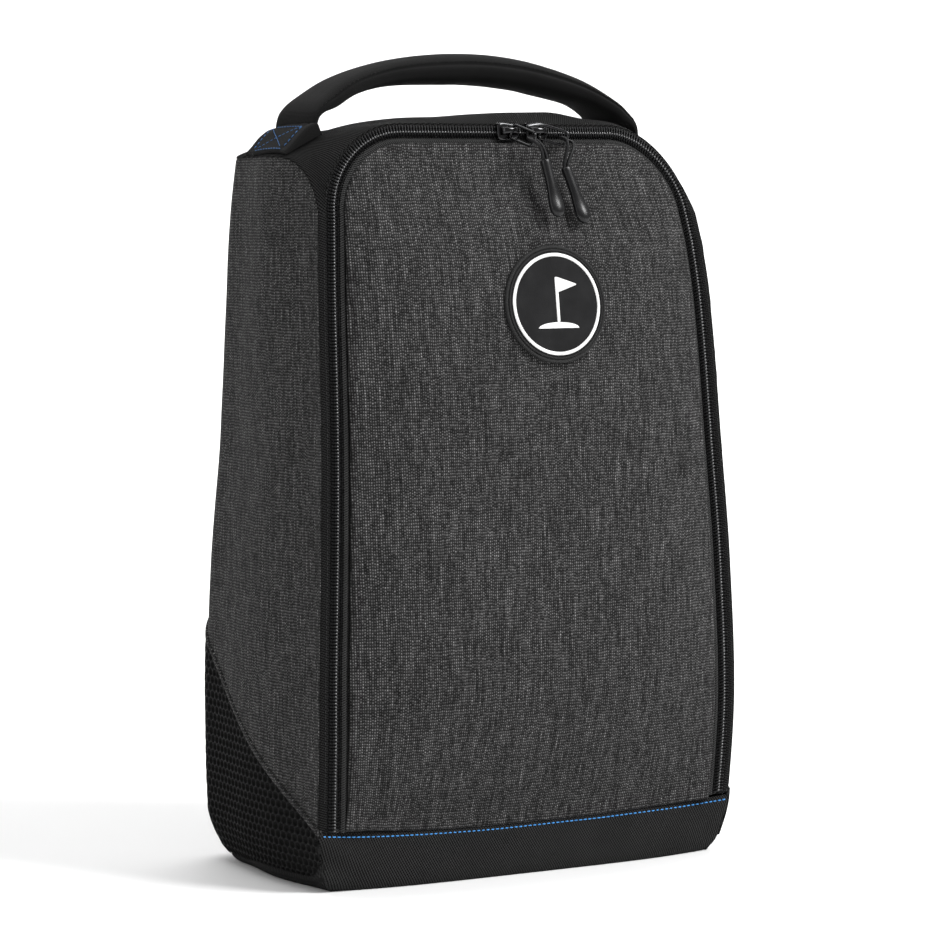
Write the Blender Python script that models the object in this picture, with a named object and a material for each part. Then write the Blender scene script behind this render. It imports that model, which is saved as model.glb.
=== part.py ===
"""Golf shoe bag: an upright zipped bag for one pair of shoes, with a padded top handle.

Sizes are in millimetres and are turned into metres where each object is made. The frame is
+X to the bag's right as seen from the front, +Y to its back and +Z up. The origin is the
middle of the base. Every wall is a sheet with a real thickness that follows one outer
surface, so the walls meet edge to edge with a small gap.
"""
import math

import bmesh
import bpy
from mathutils import Matrix, Vector
from mathutils.bvhtree import BVHTree

MM = 0.001

# Outer surface of the bag at a few heights: (height, half width, front, back).
STATIONS = (
    (0.0, 104.5, -60.0, 38.0),
    (8.0, 109.0, -62.5, 47.0),
    (26.0, 112.7, -65.0, 54.5),
    (80.0, 113.8, -68.5, 54.5),
    (140.0, 112.0, -67.0, 51.0),
    (200.0, 109.2, -62.8, 47.5),
    (264.0, 107.0, -56.5, 45.0),
    (304.0, 104.0, -50.5, 46.0),
    (344.0, 101.0, -45.0, 43.0),
    (360.0, 100.0, -43.0, 42.0),
)
REAR_RADIUS = 14.0          # rounding of the two upright back edges
SIDE_BULGE = 4.0            # how far a side wall swells between its edges
BACK_BULGE = 3.0

# Sheets and the gap that touching pieces keep.
GAP = 0.35
LAYER_GAP = 0.9             # between a wall and the looser sheet inside it
WALL = 3.0                  # padded fabric wall
LINING = 0.8
BOARD = 1.6                 # stiffener sheet
LAP = WALL + 0.6            # one wall stops this far short of another wall's outer face

# Base.
BAND_TOP = 24.0             # seam between the front band and the opening panel
BACK_TURN_UP = 35.0         # how far the base fabric runs up the back
# Side walls.
SHOULDER = 333.0            # top edge of the side walls
SHOULDER_RADIUS = 32.0      # their rounded front top corner
MESH_FRONT = 27.0           # height of the mesh at the front seam
MESH_REAR = 121.0           # and at the back edge
MESH_DIP = 8.0
HEM = 3.2                   # folded hem along the mesh
HEM_PROUD = 0.5
LINING_FOOT = 34.0          # the side lining starts above the base's turned-up edge
BACK_TOP = 340.0            # top edge of the back wall
# Zip.
ZIP_FOOT = 25.5
ZIP_TOP = 344.0
ZIP_RADIUS = 38.0
ZIP_INSET = 7.5             # chain centre line to the front seam of the side wall
CHAIN_GAP = 0.6             # half of the space between the two coils
COIL_WIDTH = 2.2
TAPE_OUT = 3.2              # fixed tape, measured from the chain centre line
TAPE_IN = 6.5               # tape on the opening panel
TAPE_THICK = 0.7
COIL_HEIGHT = 1.7
# Opening panel.
FLAP_EDGE = 4.9             # chain centre line to the panel's edge
FLAP_BULGE = 13.0
FLAP_OVER_TAPE = 1.6        # back of the panel's outer layer in front of the zip's surface
FLAP_TUCK = 3.4             # the lower edge is drawn back level with the front band
FLAP_LAYER_GAP = 1.3
FLAP_LAYERS = (("flap_panel", 2.4), ("flap_foam", 3.0), ("flap_lining", LINING))
# Round patch.
BADGE_X = 8.0
BADGE_Z = 264.9
BADGE_RADIUS = 27.4
BADGE_THICK = 1.6
BADGE_OUT = 0.9             # back of the patch in front of the panel's middle
BADGE_SIDES = 40
PRINT_THICK = 0.6
RING_RADIUS = 22.9
RING_WIDTH = 1.6
# Handle.
HANDLE_HALF_SPAN = 84.0
HANDLE_FOOT = 350.5
HANDLE_RISE = 24.0
LEFT_FOOT_DROP = 5.5        # the top is lower at the left foot than at the right one
HANDLE_HALF_DEPTH = 13.5    # half of the padded grip front to back
HANDLE_HALF_THICK = 7.3
STRAP_HALF_WIDTH = 18.0
PATCH_INNER = 84.0          # flat sewn foot of the strap, from here to the side seam
PATCH_OUTER = 101.0
PATCH_LIFT = 0.8
PATCH_THICK = 1.6
HANDLE_AXIS_Z = 350.0
# Sliders.
SLIDER_X = {"left": -2.5, "right": 13.5}
SLIDER_HALF_LENGTH = 5.5
BAIL_LENGTH = 13.0
BAIL_HALF_WIDTH = 3.3
BAIL_RADIUS = 0.65
BAR_OUT = 5.4               # pull bar's distance in front of the chain
BAR_ALONG = 0.9
BAIL_POINTING = {"left": (0.42, -0.84, -0.34), "right": (0.80, -0.52, -0.30)}
CORD_RADIUS = 0.75
LOOP_RADIUS = 3.0           # of the cord where it goes round the bail's end bar
GRIP_LENGTH = 27.0
# Top and foot of each rubber end's middle line, in the bag's frame.
PULL_END = {"left": ((9.0, -63.0, 331.0), (12.5, -69.5, 305.5)),
            "right": ((21.0, -62.0, 327.5), (27.6, -68.5, 303.0))}

BLACK = (0.012, 0.012, 0.013)
COLOURS = {
    "heather": ((0.055, 0.055, 0.057), 0.9, 0.0),
    "twill": (BLACK, 0.8, 0.0),
    "mesh": ((0.010, 0.010, 0.010), 0.85, 0.0),
    "tape": ((0.011, 0.011, 0.012), 0.8, 0.0),
    "coil": ((0.016, 0.016, 0.017), 0.35, 0.0),
    "metal": ((0.06, 0.06, 0.065), 0.25, 1.0),
    "rubber": ((0.014, 0.014, 0.015), 0.5, 0.0),
    "print": ((0.85, 0.85, 0.85), 0.5, 0.0),
    "jersey": ((0.010, 0.010, 0.011), 0.9, 0.0),
    "lining": ((0.05, 0.05, 0.055), 0.7, 0.0),
    "board": ((0.20, 0.20, 0.20), 0.5, 0.0),
    "foam": ((0.30, 0.30, 0.30), 0.9, 0.0),
}


# ---------------------------------------------------------------- building helpers

def clear_scene():
    for item in list(bpy.data.objects):
        bpy.data.objects.remove(item, do_unlink=True)


def material(name):
    found = bpy.data.materials.get(name)
    if found:
        return found
    colour, roughness, metallic = COLOURS[name]
    made = bpy.data.materials.new(name)
    made.use_nodes = True
    shader = made.node_tree.nodes["Principled BSDF"]
    shader.inputs["Base Color"].default_value = (*colour, 1.0)
    shader.inputs["Roughness"].default_value = roughness
    shader.inputs["Metallic"].default_value = metallic
    return made


def add_object(name, mesh_data, material_name, pivot=(0, 0, 0), turn=None):
    """Make an object from a bmesh in millimetres; pivot is its origin in the bag's frame."""
    bmesh.ops.remove_doubles(mesh_data, verts=mesh_data.verts, dist=1e-4)
    bmesh.ops.recalc_face_normals(mesh_data, faces=mesh_data.faces)
    if mesh_data.calc_volume(signed=True) < 0:
        bmesh.ops.reverse_faces(mesh_data, faces=mesh_data.faces)
    bmesh.ops.scale(mesh_data, vec=(MM, MM, MM), verts=mesh_data.verts)
    mesh = bpy.data.meshes.new(name)
    mesh_data.to_mesh(mesh)
    mesh_data.free()
    mesh.shade_smooth()
    mesh.set_sharp_from_angle(angle=math.radians(35))
    made = bpy.data.objects.new(name, mesh)
    made.data.materials.append(material(material_name))
    made.location = Vector(pivot) * MM
    if turn is not None:
        made.rotation_euler = turn.to_euler()
    bpy.context.scene.collection.objects.link(made)
    return made


def bridge_grids(outer, inner):
    """One closed body between two grids of points of the same size."""
    body = bmesh.new()
    rows = len(outer)
    columns = len(outer[0])
    skins = [[[body.verts.new(point) for point in row] for row in grid] for grid in (outer, inner)]
    for skin in skins:
        for r in range(rows - 1):
            for c in range(columns - 1):
                body.faces.new((skin[r][c], skin[r][c + 1], skin[r + 1][c + 1], skin[r + 1][c]))
    rim = [(0, c) for c in range(columns)] + [(r, columns - 1) for r in range(1, rows)]
    rim += [(rows - 1, c) for c in range(columns - 2, -1, -1)] + [(r, 0) for r in range(rows - 2, 0, -1)]
    for (r0, c0), (r1, c1) in zip(rim, rim[1:] + rim[:1]):
        body.faces.new((skins[0][r0][c0], skins[0][r1][c1], skins[1][r1][c1], skins[1][r0][c0]))
    return body


def bridge_rings(rings, closed_path=False):
    """One closed body through a list of rings of points, capped at both ends."""
    body = bmesh.new()
    made = [[body.verts.new(point) for point in ring] for ring in rings]
    count = len(made[0])
    pairs = list(zip(made, made[1:]))
    if closed_path:
        pairs.append((made[-1], made[0]))
    for low, high in pairs:
        for i in range(count):
            j = (i + 1) % count
            body.faces.new((low[i], low[j], high[j], high[i]))
    if not closed_path:
        body.faces.new(made[0])
        body.faces.new(made[-1])
    return body


def extrude_outline(outline, low, high, place):
    """A prism: outline is a list of (a, b); place turns (a, b, height) into a point."""
    return bridge_rings([[place(a, b, level) for a, b in outline] for level in (low, high)])


def sheet(name, point, rows, columns, depth_out, depth_in, material_name):
    """A wall: point(row value, column value, depth) gives a point that far under the surface."""
    outer = [[point(r, c, depth_out) for c in columns] for r in rows]
    inner = [[point(r, c, depth_in) for c in columns] for r in rows]
    return add_object(name, bridge_grids(outer, inner), material_name)


def spread(count, low=0.0, high=1.0):
    return [low + (high - low) * i / (count - 1) for i in range(count)]


def mix(a, b, t):
    return a + (b - a) * t


def smooth(t):
    t = min(1.0, max(0.0, t))
    return t * t * (3.0 - 2.0 * t)


def circle(count, radius, start=0.0):
    angles = [start + 2.0 * math.pi * i / count for i in range(count)]
    return [(radius * math.cos(a), radius * math.sin(a)) for a in angles]


def join_with(target, part):
    """Boolean union of part into target; part is then only a hidden helper."""
    union = target.modifiers.new("join", "BOOLEAN")
    union.operation = "UNION"
    union.solver = "EXACT"
    union.object = part
    part.hide_render = True
    part.display_type = "WIRE"


# ---------------------------------------------------------------- the bag's outer surface

def slopes(heights, values):
    """Slopes for a curve through the stations that never overshoots them."""
    steps = [(values[i + 1] - values[i]) / (heights[i + 1] - heights[i]) for i in range(len(values) - 1)]
    result = [steps[0]]
    for before, after in zip(steps, steps[1:]):
        same_way = before * after > 0
        result.append(2.0 * before * after / (before + after) if same_way else 0.0)
    return result + [steps[-1]]


HEIGHTS = [station[0] for station in STATIONS]
COLUMNS = {name: [station[i + 1] for station in STATIONS] for i, name in enumerate(("half", "front", "back"))}
SLOPES = {name: slopes(HEIGHTS, values) for name, values in COLUMNS.items()}


def station(name, z):
    """Half width, front or back of the outer surface at a height."""
    z = min(max(z, HEIGHTS[0]), HEIGHTS[-1])
    i = max(k for k in range(len(HEIGHTS) - 1) if HEIGHTS[k] <= z)
    step = HEIGHTS[i + 1] - HEIGHTS[i]
    t = (z - HEIGHTS[i]) / step
    low, high = COLUMNS[name][i], COLUMNS[name][i + 1]
    slope_low, slope_high = SLOPES[name][i] * step, SLOPES[name][i + 1] * step
    blend = t * t * (3.0 - 2.0 * t)
    return mix(low, high, blend) + slope_low * t * (1.0 - t) ** 2 - slope_high * t * t * (1.0 - t)


def side_length(z):
    """Length of the side wall at a height, from the front seam round the back edge."""
    straight = station("back", z) - REAR_RADIUS - station("front", z)
    return straight, straight + REAR_RADIUS * math.pi / 2.0


def side_point(side, z, along, depth):
    """Point on a side wall, `along` from the front seam and `depth` under the surface."""
    straight, _ = side_length(z)
    half = station("half", z)
    if along <= straight:
        swell = SIDE_BULGE * math.sin(math.pi * along / straight) ** 2
        x, y = half + swell - depth, station("front", z) + along
    else:
        turn = (along - straight) / REAR_RADIUS
        reach = REAR_RADIUS - depth
        x = half - REAR_RADIUS + reach * math.cos(turn)
        y = station("back", z) - REAR_RADIUS + reach * math.sin(turn)
    return Vector((side * x, y, z))


def back_half_width(z):
    return station("half", z) - REAR_RADIUS - GAP


def back_top(across):
    """Top edge of the back wall, which drops towards the shoulders."""
    return mix(SHOULDER, BACK_TOP, smooth((1.0 - abs(across)) * 3.0))


def back_point(z, across, depth):
    """Point on the back wall; across runs from -1 to 1."""
    swell = BACK_BULGE * (1.0 - across * across) ** 2
    return Vector((across * back_half_width(z), station("back", z) + swell - depth, z))


def front_point(x, z, out=0.0):
    return Vector((x, station("front", z) - out, z))


# ---------------------------------------------------------------- edges of the side walls

def shoulder_height(along):
    """Top edge of a side wall: level, with a round corner at the front."""
    back_off = min(SHOULDER_RADIUS, max(0.0, SHOULDER_RADIUS - along))
    return SHOULDER - SHOULDER_RADIUS + math.sqrt(SHOULDER_RADIUS ** 2 - back_off ** 2)


def mesh_edge(fraction):
    """Height of the slanting edge between mesh and side wall, from front to back."""
    return mix(MESH_FRONT, MESH_REAR, fraction) - MESH_DIP * math.sin(math.pi * fraction)


def side_sheet(name, side, low, high, depth_out, depth_in, material_name, rows, columns,
               front_margin=LAP, end_margin=GAP):
    """Part of a side wall; low and high give its edges from (fraction, length) along it."""
    def point(t, s, depth):
        z, along = 0.0, 0.0
        for _ in range(4):
            _, full = side_length(z)
            along = mix(front_margin, full - end_margin, s)
            z = mix(low(s, along), high(s, along), t)
        return side_point(side, z, along, depth)
    return sheet(name, point, spread(rows), spread(columns), depth_out, depth_in, material_name)


def build_side_walls():
    def hem_low(s, along):
        return mesh_edge(s)

    def hem_high(s, along):
        return mesh_edge(s) + HEM

    def panel_low(s, along):
        return mesh_edge(s) + HEM + GAP

    def panel_high(s, along):
        return shoulder_height(along - LAP) - LAP

    def mesh_low(s, along):
        return LAP + 2.0 * GAP

    def mesh_high(s, along):
        return mesh_edge(s) - GAP

    def lining_low(s, along):
        return LINING_FOOT

    lining_out = WALL + LAYER_GAP
    for label, side in (("left", -1.0), ("right", 1.0)):
        side_sheet("side_panel_" + label, side, panel_low, panel_high, 0.0, WALL, "heather", 13, 13)
        side_sheet("side_hem_" + label, side, hem_low, hem_high, -HEM_PROUD, WALL, "heather", 2, 13)
        side_sheet("side_mesh_" + label, side, mesh_low, mesh_high, 0.0, WALL, "mesh", 9, 13)
        side_sheet("side_lining_" + label, side, lining_low, panel_high, lining_out, lining_out + LINING,
                   "lining", 8, 13, front_margin=LAP + 1.5, end_margin=2.0)


def build_back():
    def layer(name, margin, reach, rows, columns, depth, thick, colour):
        def point(t, across, inset):
            low = BACK_TURN_UP + GAP + margin
            return back_point(mix(low, back_top(across) - LAP - GAP - margin, t), across, inset)
        sheet(name, point, spread(rows), spread(columns, -reach, reach), depth, depth + thick, colour)
    board_out = WALL + LAYER_GAP
    lining_out = board_out + BOARD + LAYER_GAP
    layer("back_panel", 0.0, 1.0, 11, 9, 0.0, WALL, "heather")
    layer("back_board", 8.0, 0.92, 8, 5, board_out, BOARD, "board")
    layer("back_lining", 3.0, 0.95, 8, 5, lining_out, LINING, "lining")


# ---------------------------------------------------------------- base

def base_profile():
    """Side view of the base fabric: down the front band, along the floor, up the back."""
    points = [(station("front", z), z) for z in (BAND_TOP, 18.0, 12.0, 7.0, 3.0)]
    points += [(y, 0.0) for y in (-57.0, -30.0, 0.0, 16.0, 26.0, 33.0)]
    points += [(station("back", z), z) for z in (2.0, 5.0, 10.0, 17.0, 26.0, BACK_TURN_UP)]
    return points


def base_half_width(y, z):
    """The base reaches the bag's edge in front and stops inside the round back edges."""
    into_corner = min(REAR_RADIUS, max(0.0, y - station("back", z) + REAR_RADIUS))
    corner = REAR_RADIUS - math.sqrt(REAR_RADIUS ** 2 - into_corner ** 2)
    clear = GAP if z > LAP or into_corner > 0.0 else 0.0
    return station("half", z) - corner - clear


def offset_profile(points, depth):
    """The profile moved inward by depth, square to itself."""
    moved = []
    for i, (y, z) in enumerate(points):
        before = points[max(0, i - 1)]
        after = points[min(len(points) - 1, i + 1)]
        along = Vector((after[0] - before[0], after[1] - before[1])).normalized()
        moved.append((y - along.y * depth, z + along.x * depth))
    moved[0] = (moved[0][0], points[0][1])
    moved[-1] = (moved[-1][0], points[-1][1])
    return moved


def build_base():
    profile = base_profile()
    inner_profile = offset_profile(profile, WALL)
    across = spread(7, -1.0, 1.0)
    outer = [[Vector((u * base_half_width(y, z), y, z)) for u in across] for y, z in profile]
    inner = []
    for (y0, z0), (y, z) in zip(profile, inner_profile):
        inner.append([Vector((u * base_half_width(y0, z0), y, z)) for u in across])
    add_object("base_panel", bridge_grids(outer, inner), "twill")

    board_low = WALL + LAYER_GAP
    lining_low = board_low + BOARD + LAYER_GAP
    for name, low, thick, colour in (("base_board", board_low, BOARD, "board"),
                                     ("base_lining", lining_low, LINING, "lining")):
        outline = rounded_rectangle(-95.0, 95.0, -50.0, 21.0, 10.0, 3)
        body = extrude_outline(outline, low, low + thick, lambda a, b, level: Vector((a, b, level)))
        add_object(name, body, colour)


def rounded_rectangle(left, right, low, high, radius, steps):
    corners = ((right - radius, high - radius, 0.0), (left + radius, high - radius, 90.0),
               (left + radius, low + radius, 180.0), (right - radius, low + radius, 270.0))
    outline = []
    for cx, cy, start in corners:
        for i in range(steps + 1):
            angle = math.radians(start + 90.0 * i / steps)
            outline.append((cx + radius * math.cos(angle), cy + radius * math.sin(angle)))
    return outline


# ---------------------------------------------------------------- zip

def zip_half_width(z):
    return station("half", z) - ZIP_INSET


def zip_path(upright=12, corner=7, top=6):
    """Chain centre line: (x, z) and the outward direction, from left foot to right foot."""
    corner_z = ZIP_TOP - ZIP_RADIUS
    corner_x = zip_half_width(corner_z) - ZIP_RADIUS
    half = []
    for z in spread(upright, ZIP_FOOT, corner_z)[:-1]:
        half.append((-zip_half_width(z), z, -1.0, 0.0))
    for angle in spread(corner, 0.0, math.pi / 2.0):
        out = (-math.cos(angle), math.sin(angle))
        half.append((-corner_x + ZIP_RADIUS * out[0], corner_z + ZIP_RADIUS * out[1], *out))
    for x in spread(top, -corner_x, 0.0)[1:]:
        half.append((x, ZIP_TOP, 0.0, 1.0))
    mirrored = [(-x, z, -ox, oz) for x, z, ox, oz in reversed(half[:-1])]
    return half + mirrored


def chain_strip(name, low, high, near, far, material_name):
    """A strip along the chain: low..high across it, near..far in front of the surface."""
    rings = []
    for x, z, out_x, out_z in zip_path():
        ring = []
        for across, out in ((low, near), (high, near), (high, far), (low, far)):
            ring.append(front_point(x + out_x * across, z + out_z * across, out))
        rings.append(ring)
    return add_object(name, bridge_rings(rings), material_name)


def build_hinge_binding():
    """Bound seam inside the front band, where the opening panel folds down."""
    def point(z, across, depth):
        return front_point(across * (station("half", z) - 8.0), z, -depth)
    near = WALL + LAYER_GAP
    sheet("hinge_binding", point, (12.0, BAND_TOP - 1.5), spread(5, -1.0, 1.0), near, near + 1.2, "tape")


def build_zip():
    half_tape = TAPE_THICK / 2.0
    coil_near = half_tape + GAP
    coil_far = coil_near + COIL_HEIGHT
    chain_strip("zip_tape_fixed", CHAIN_GAP, TAPE_OUT, -half_tape, half_tape, "tape")
    chain_strip("zip_coil_fixed", CHAIN_GAP, CHAIN_GAP + COIL_WIDTH, coil_near, coil_far, "coil")
    chain_strip("zip_tape_flap", -TAPE_IN, -CHAIN_GAP, -half_tape, half_tape, "tape")
    chain_strip("zip_coil_flap", -CHAIN_GAP - COIL_WIDTH, -CHAIN_GAP, coil_near, coil_far, "coil")


# ---------------------------------------------------------------- gusset: front strips and top

def seam_path(upright, corner, top):
    """Outer edge of the left half of the gusset, matched point by point to zip_path."""
    corner_z = ZIP_TOP - ZIP_RADIUS
    edge = [Vector((-station("half", z), station("front", z), z))
            for z in spread(upright, ZIP_FOOT, corner_z)[:-1]]
    trail = [Vector((-station("half", corner_z), station("front", corner_z), corner_z))]
    _, full = side_length(SHOULDER)
    for along in spread(20, 0.5, full):
        trail.append(side_point(-1.0, shoulder_height(along), along, 0.0))
    rear_x = back_half_width(BACK_TOP)
    for across in spread(12, -1.0, 0.0):
        rise = smooth((across + 1.0) * 3.0)
        point = back_point(BACK_TOP, across, 0.0)
        point.z = mix(SHOULDER, BACK_TOP, rise)
        trail.append(point)
    return edge + resample(trail, fractions_of_turn(corner, top, corner_z))


def fractions_of_turn(corner, top, corner_z):
    """How far along corner and top run each chain point lies, from 0 to 1."""
    arc = ZIP_RADIUS * math.pi / 2.0
    run = zip_half_width(corner_z) - ZIP_RADIUS
    marks = spread(corner, 0.0, arc) + spread(top, arc, arc + run)[1:]
    return [mark / (arc + run) for mark in marks]


def resample(points, fractions):
    lengths = [0.0]
    for a, b in zip(points, points[1:]):
        lengths.append(lengths[-1] + (b - a).length)
    result = []
    for fraction in fractions:
        goal = fraction * lengths[-1]
        i = max(k for k in range(len(points) - 1) if lengths[k] <= goal)
        t = (goal - lengths[i]) / (lengths[i + 1] - lengths[i])
        result.append(points[i].lerp(points[i + 1], t))
    return result


def dome_rise(turn, across, x):
    """How far the top swells above the line from chain to back edge, more to the right."""
    height = 12.5 * smooth(turn / 0.75) * min(0.9, max(0.4, 0.66 + x / 300.0))
    return height * (1.0 - abs(2.0 * across - 1.0) ** 2.6)


def gusset_rows(upright=12, corner=7, top=9, columns=9):
    chain = zip_path(upright, corner, top)
    half = len(chain) // 2 + 1
    seam = seam_path(upright, corner, top)
    turns = [0.0] * (upright - 1) + fractions_of_turn(corner, top, ZIP_TOP - ZIP_RADIUS)
    start = TAPE_OUT + 6.0 * GAP
    rows, mirrored = [], []
    for (x, z, out_x, out_z), edge, turn in zip(chain[:half], seam, turns):
        inner = front_point(x + out_x * start, z + out_z * start)
        row, opposite = [], []
        for across in spread(columns):
            x, y, z = inner.lerp(edge, across)
            row.append(Vector((x, y, z + dome_rise(turn, across, x))))
            opposite.append(Vector((-x, y, z + dome_rise(turn, across, -x))))
        rows.append(row)
        mirrored.append(opposite)
    return rows + mirrored[-2::-1]


def sink(rows, depth):
    """Move a grid of points under its own surface by depth."""
    count, width = len(rows), len(rows[0])
    moved = []
    for r in range(count):
        line = []
        for c in range(width):
            along = rows[min(r + 1, count - 1)][c] - rows[max(r - 1, 0)][c]
            across = rows[r][min(c + 1, width - 1)] - rows[r][max(c - 1, 0)]
            normal = along.cross(across).normalized()
            if normal.dot(rows[r][c] - Vector((0.0, 0.0, 180.0))) < 0.0:
                normal = -normal
            line.append(rows[r][c] - normal * depth)
        moved.append(line)
    return moved


def build_gusset():
    rows = gusset_rows()
    under = sink(rows, WALL)
    add_object("gusset", bridge_grids(rows, under), "twill")
    lining_outer = sink(rows, WALL + LAYER_GAP)
    lining_inner = sink(rows, WALL + LAYER_GAP + LINING)
    keep = slice(13, len(rows) - 13)
    trim = slice(2, -2)
    add_object("top_lining", bridge_grids([row[trim] for row in lining_outer[keep]],
                                          [row[trim] for row in lining_inner[keep]]), "lining")


# ---------------------------------------------------------------- opening panel

def flap_half_width(z):
    """Half width of the opening panel's edge, with the zip's round top corners."""
    corner_z = ZIP_TOP - ZIP_RADIUS
    if z <= corner_z:
        return zip_half_width(z) - FLAP_EDGE
    radius = ZIP_RADIUS - FLAP_EDGE
    lift = min(z - corner_z, radius)
    return zip_half_width(corner_z) - ZIP_RADIUS + math.sqrt(radius * radius - lift * lift)


def flap_swell(across, z):
    """How far the opening panel stands in front of the zip's surface."""
    rise = smooth((z - BAND_TOP) / 75.0)
    fall = smooth((ZIP_TOP - FLAP_EDGE - z) / 60.0)
    edge = 1.0 - abs(across) ** 3.5
    tucked = (1.0 - abs(across) ** 8) * (1.0 - smooth((z - BAND_TOP) / 22.0))
    return FLAP_OVER_TAPE + FLAP_BULGE * edge * rise * (0.10 + 0.90 * fall) - FLAP_TUCK * tucked


def flap_point(z, across, depth):
    half = flap_half_width(z) - 0.25 * depth
    return front_point(across * half, z, flap_swell(across, z) + FLAP_LAYERS[0][1] - depth)


def flap_heights(margin):
    """Rows of the opening panel, closer together round the top corners."""
    corner_z = ZIP_TOP - ZIP_RADIUS
    radius = ZIP_RADIUS - FLAP_EDGE
    rows = spread(9, BAND_TOP + 1.4 + margin, corner_z)
    for angle in spread(6, 0.0, math.radians(84.0))[1:]:
        rows.append(corner_z + (radius - margin) * math.sin(angle))
    return rows


def build_flap():
    depth = 0.0
    for i, (name, thick) in enumerate(FLAP_LAYERS):
        colour = {"flap_panel": "heather", "flap_foam": "foam", "flap_lining": "lining"}[name]
        reach = 1.0 if i == 0 else 0.90
        columns = spread(11, -reach, reach)
        sheet(name, flap_point, flap_heights(4.0 * i), columns, depth, depth + thick, colour)
        depth += thick + FLAP_LAYER_GAP


def surface_frame(x, z):
    """Place and turn of something lying on the opening panel: local -Y points out."""
    def on_panel(px, pz):
        return flap_point(pz, px / flap_half_width(pz), 0.0)
    centre = on_panel(x, z)
    right = (on_panel(x + 20.0, z) - on_panel(x - 20.0, z)).normalized()
    up = (on_panel(x, z + 20.0) - on_panel(x, z - 20.0)).normalized()
    inward = up.cross(right).normalized() * -1.0
    if inward.y < 0.0:
        inward = -inward
    up = right.cross(inward).normalized() * -1.0
    if up.z < 0.0:
        up = -up
    return centre, Matrix((right, inward, up)).transposed()


def emblem_outline():
    """The generic picture on the patch: a flag on its stick above a low mound, one outline."""
    stick, top, flag_foot, flag_reach = 0.7, 12.5, 5.4, 11.0
    mound_half, mound_foot, mound_rise = 11.0, -11.2, 2.8
    stick_angle = math.acos(stick / mound_half)

    def mound(angle):
        return mound_half * math.cos(angle), mound_foot + mound_rise * math.sin(angle)
    left = [mound(angle) for angle in spread(7, math.pi, math.pi - stick_angle)]
    right = [mound(angle) for angle in spread(7, stick_angle, 0.0)]
    pole = [(-stick, top), (stick, top), (flag_reach, (top + flag_foot) / 2.0), (stick, flag_foot)]
    return left + pole + right


def build_badge():
    centre, turn = surface_frame(BADGE_X, BADGE_Z)

    def place(a, b, level):
        return Vector((a, level, b))
    back = -BADGE_OUT
    disc = extrude_outline(circle(BADGE_SIDES, BADGE_RADIUS), back - BADGE_THICK, back, place)
    add_object("badge_base", disc, "rubber", centre, turn)

    face = back - BADGE_THICK - GAP
    front = face - PRINT_THICK
    near, far = RING_RADIUS - RING_WIDTH / 2.0, RING_RADIUS + RING_WIDTH / 2.0
    rings = []
    for a, b in circle(BADGE_SIDES, 1.0):
        corners = ((near, face), (far, face), (far, front), (near, front))
        rings.append([place(a * radius, b * radius, level) for radius, level in corners])
    add_object("badge_ring", bridge_rings(rings, closed_path=True), "print", centre, turn)
    emblem = extrude_outline(emblem_outline(), front, face, place)
    add_object("badge_emblem", emblem, "print", centre, turn)


# ---------------------------------------------------------------- sliders and their pulls

def slider_frame(label):
    """Chain centre at a slider, and the turn that lays local Y square to the front."""
    x = SLIDER_X[label]
    slope = (station("front", ZIP_TOP + 4.0) - station("front", ZIP_TOP - 4.0)) / 8.0
    return front_point(x, ZIP_TOP), Matrix.Rotation(-math.atan(slope), 3, "X")


def build_slider(label):
    centre, turn = slider_frame(label)
    length = SLIDER_HALF_LENGTH
    profile = [(-4.2, -3.9), (4.2, -3.9), (4.2, -0.8), (3.3, -0.8), (3.3, -2.8), (0.3, -2.8), (0.3, 1.6),
               (-4.2, 1.6), (-4.2, 0.8), (-0.3, 0.8), (-0.3, -2.8), (-3.3, -2.8), (-3.3, -0.8), (-4.2, -0.8)]
    body = extrude_outline(profile, -length, length, lambda a, b, level: Vector((level, b, a)))
    slider = add_object("slider_" + label, body, "metal", centre, turn)
    crown = [(-4.6, -3.6), (-4.6, -6.4), (-3.4, -8.0), (3.4, -8.0), (4.6, -6.4), (4.6, -3.6),
             (3.2, -3.6), (3.2, -6.2), (2.6, -6.9), (-2.6, -6.9), (-3.2, -6.2), (-3.2, -3.6)]
    arch = extrude_outline(crown, -1.2, 1.2, lambda a, b, level: Vector((a, b, level)))
    join_with(slider, add_object("slider_crown_" + label, arch, "metal", centre, turn))


def bail_axes(label):
    """Where the pull's bar sits, the way the pull points, and the bar's direction."""
    centre, turn = slider_frame(label)
    bar = centre + turn @ Vector((BAR_ALONG, -BAR_OUT, 0.0))
    pointing = Vector(BAIL_POINTING[label]).normalized()
    upright = turn @ Vector((0.0, 0.0, 1.0))
    bar_way = (upright - pointing * upright.dot(pointing)).normalized()
    return bar, pointing, bar_way


def build_bail(label):
    bar, pointing, bar_way = bail_axes(label)
    normal = pointing.cross(bar_way)
    outline = rounded_rectangle(0.0, BAIL_LENGTH, -BAIL_HALF_WIDTH, BAIL_HALF_WIDTH, 1.7, 3)
    rings = []
    count = len(outline)
    for i, (a, b) in enumerate(outline):
        before, after = outline[i - 1], outline[(i + 1) % count]
        along = Vector((after[0] - before[0], after[1] - before[1])).normalized()
        side = pointing * along.y - bar_way * along.x
        middle = pointing * a + bar_way * b
        rings.append([middle + side * u + normal * v for u, v in circle(8, BAIL_RADIUS, math.pi / 8)])
    add_object("pull_bail_" + label, bridge_rings(rings, closed_path=True), "metal", bar)


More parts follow.
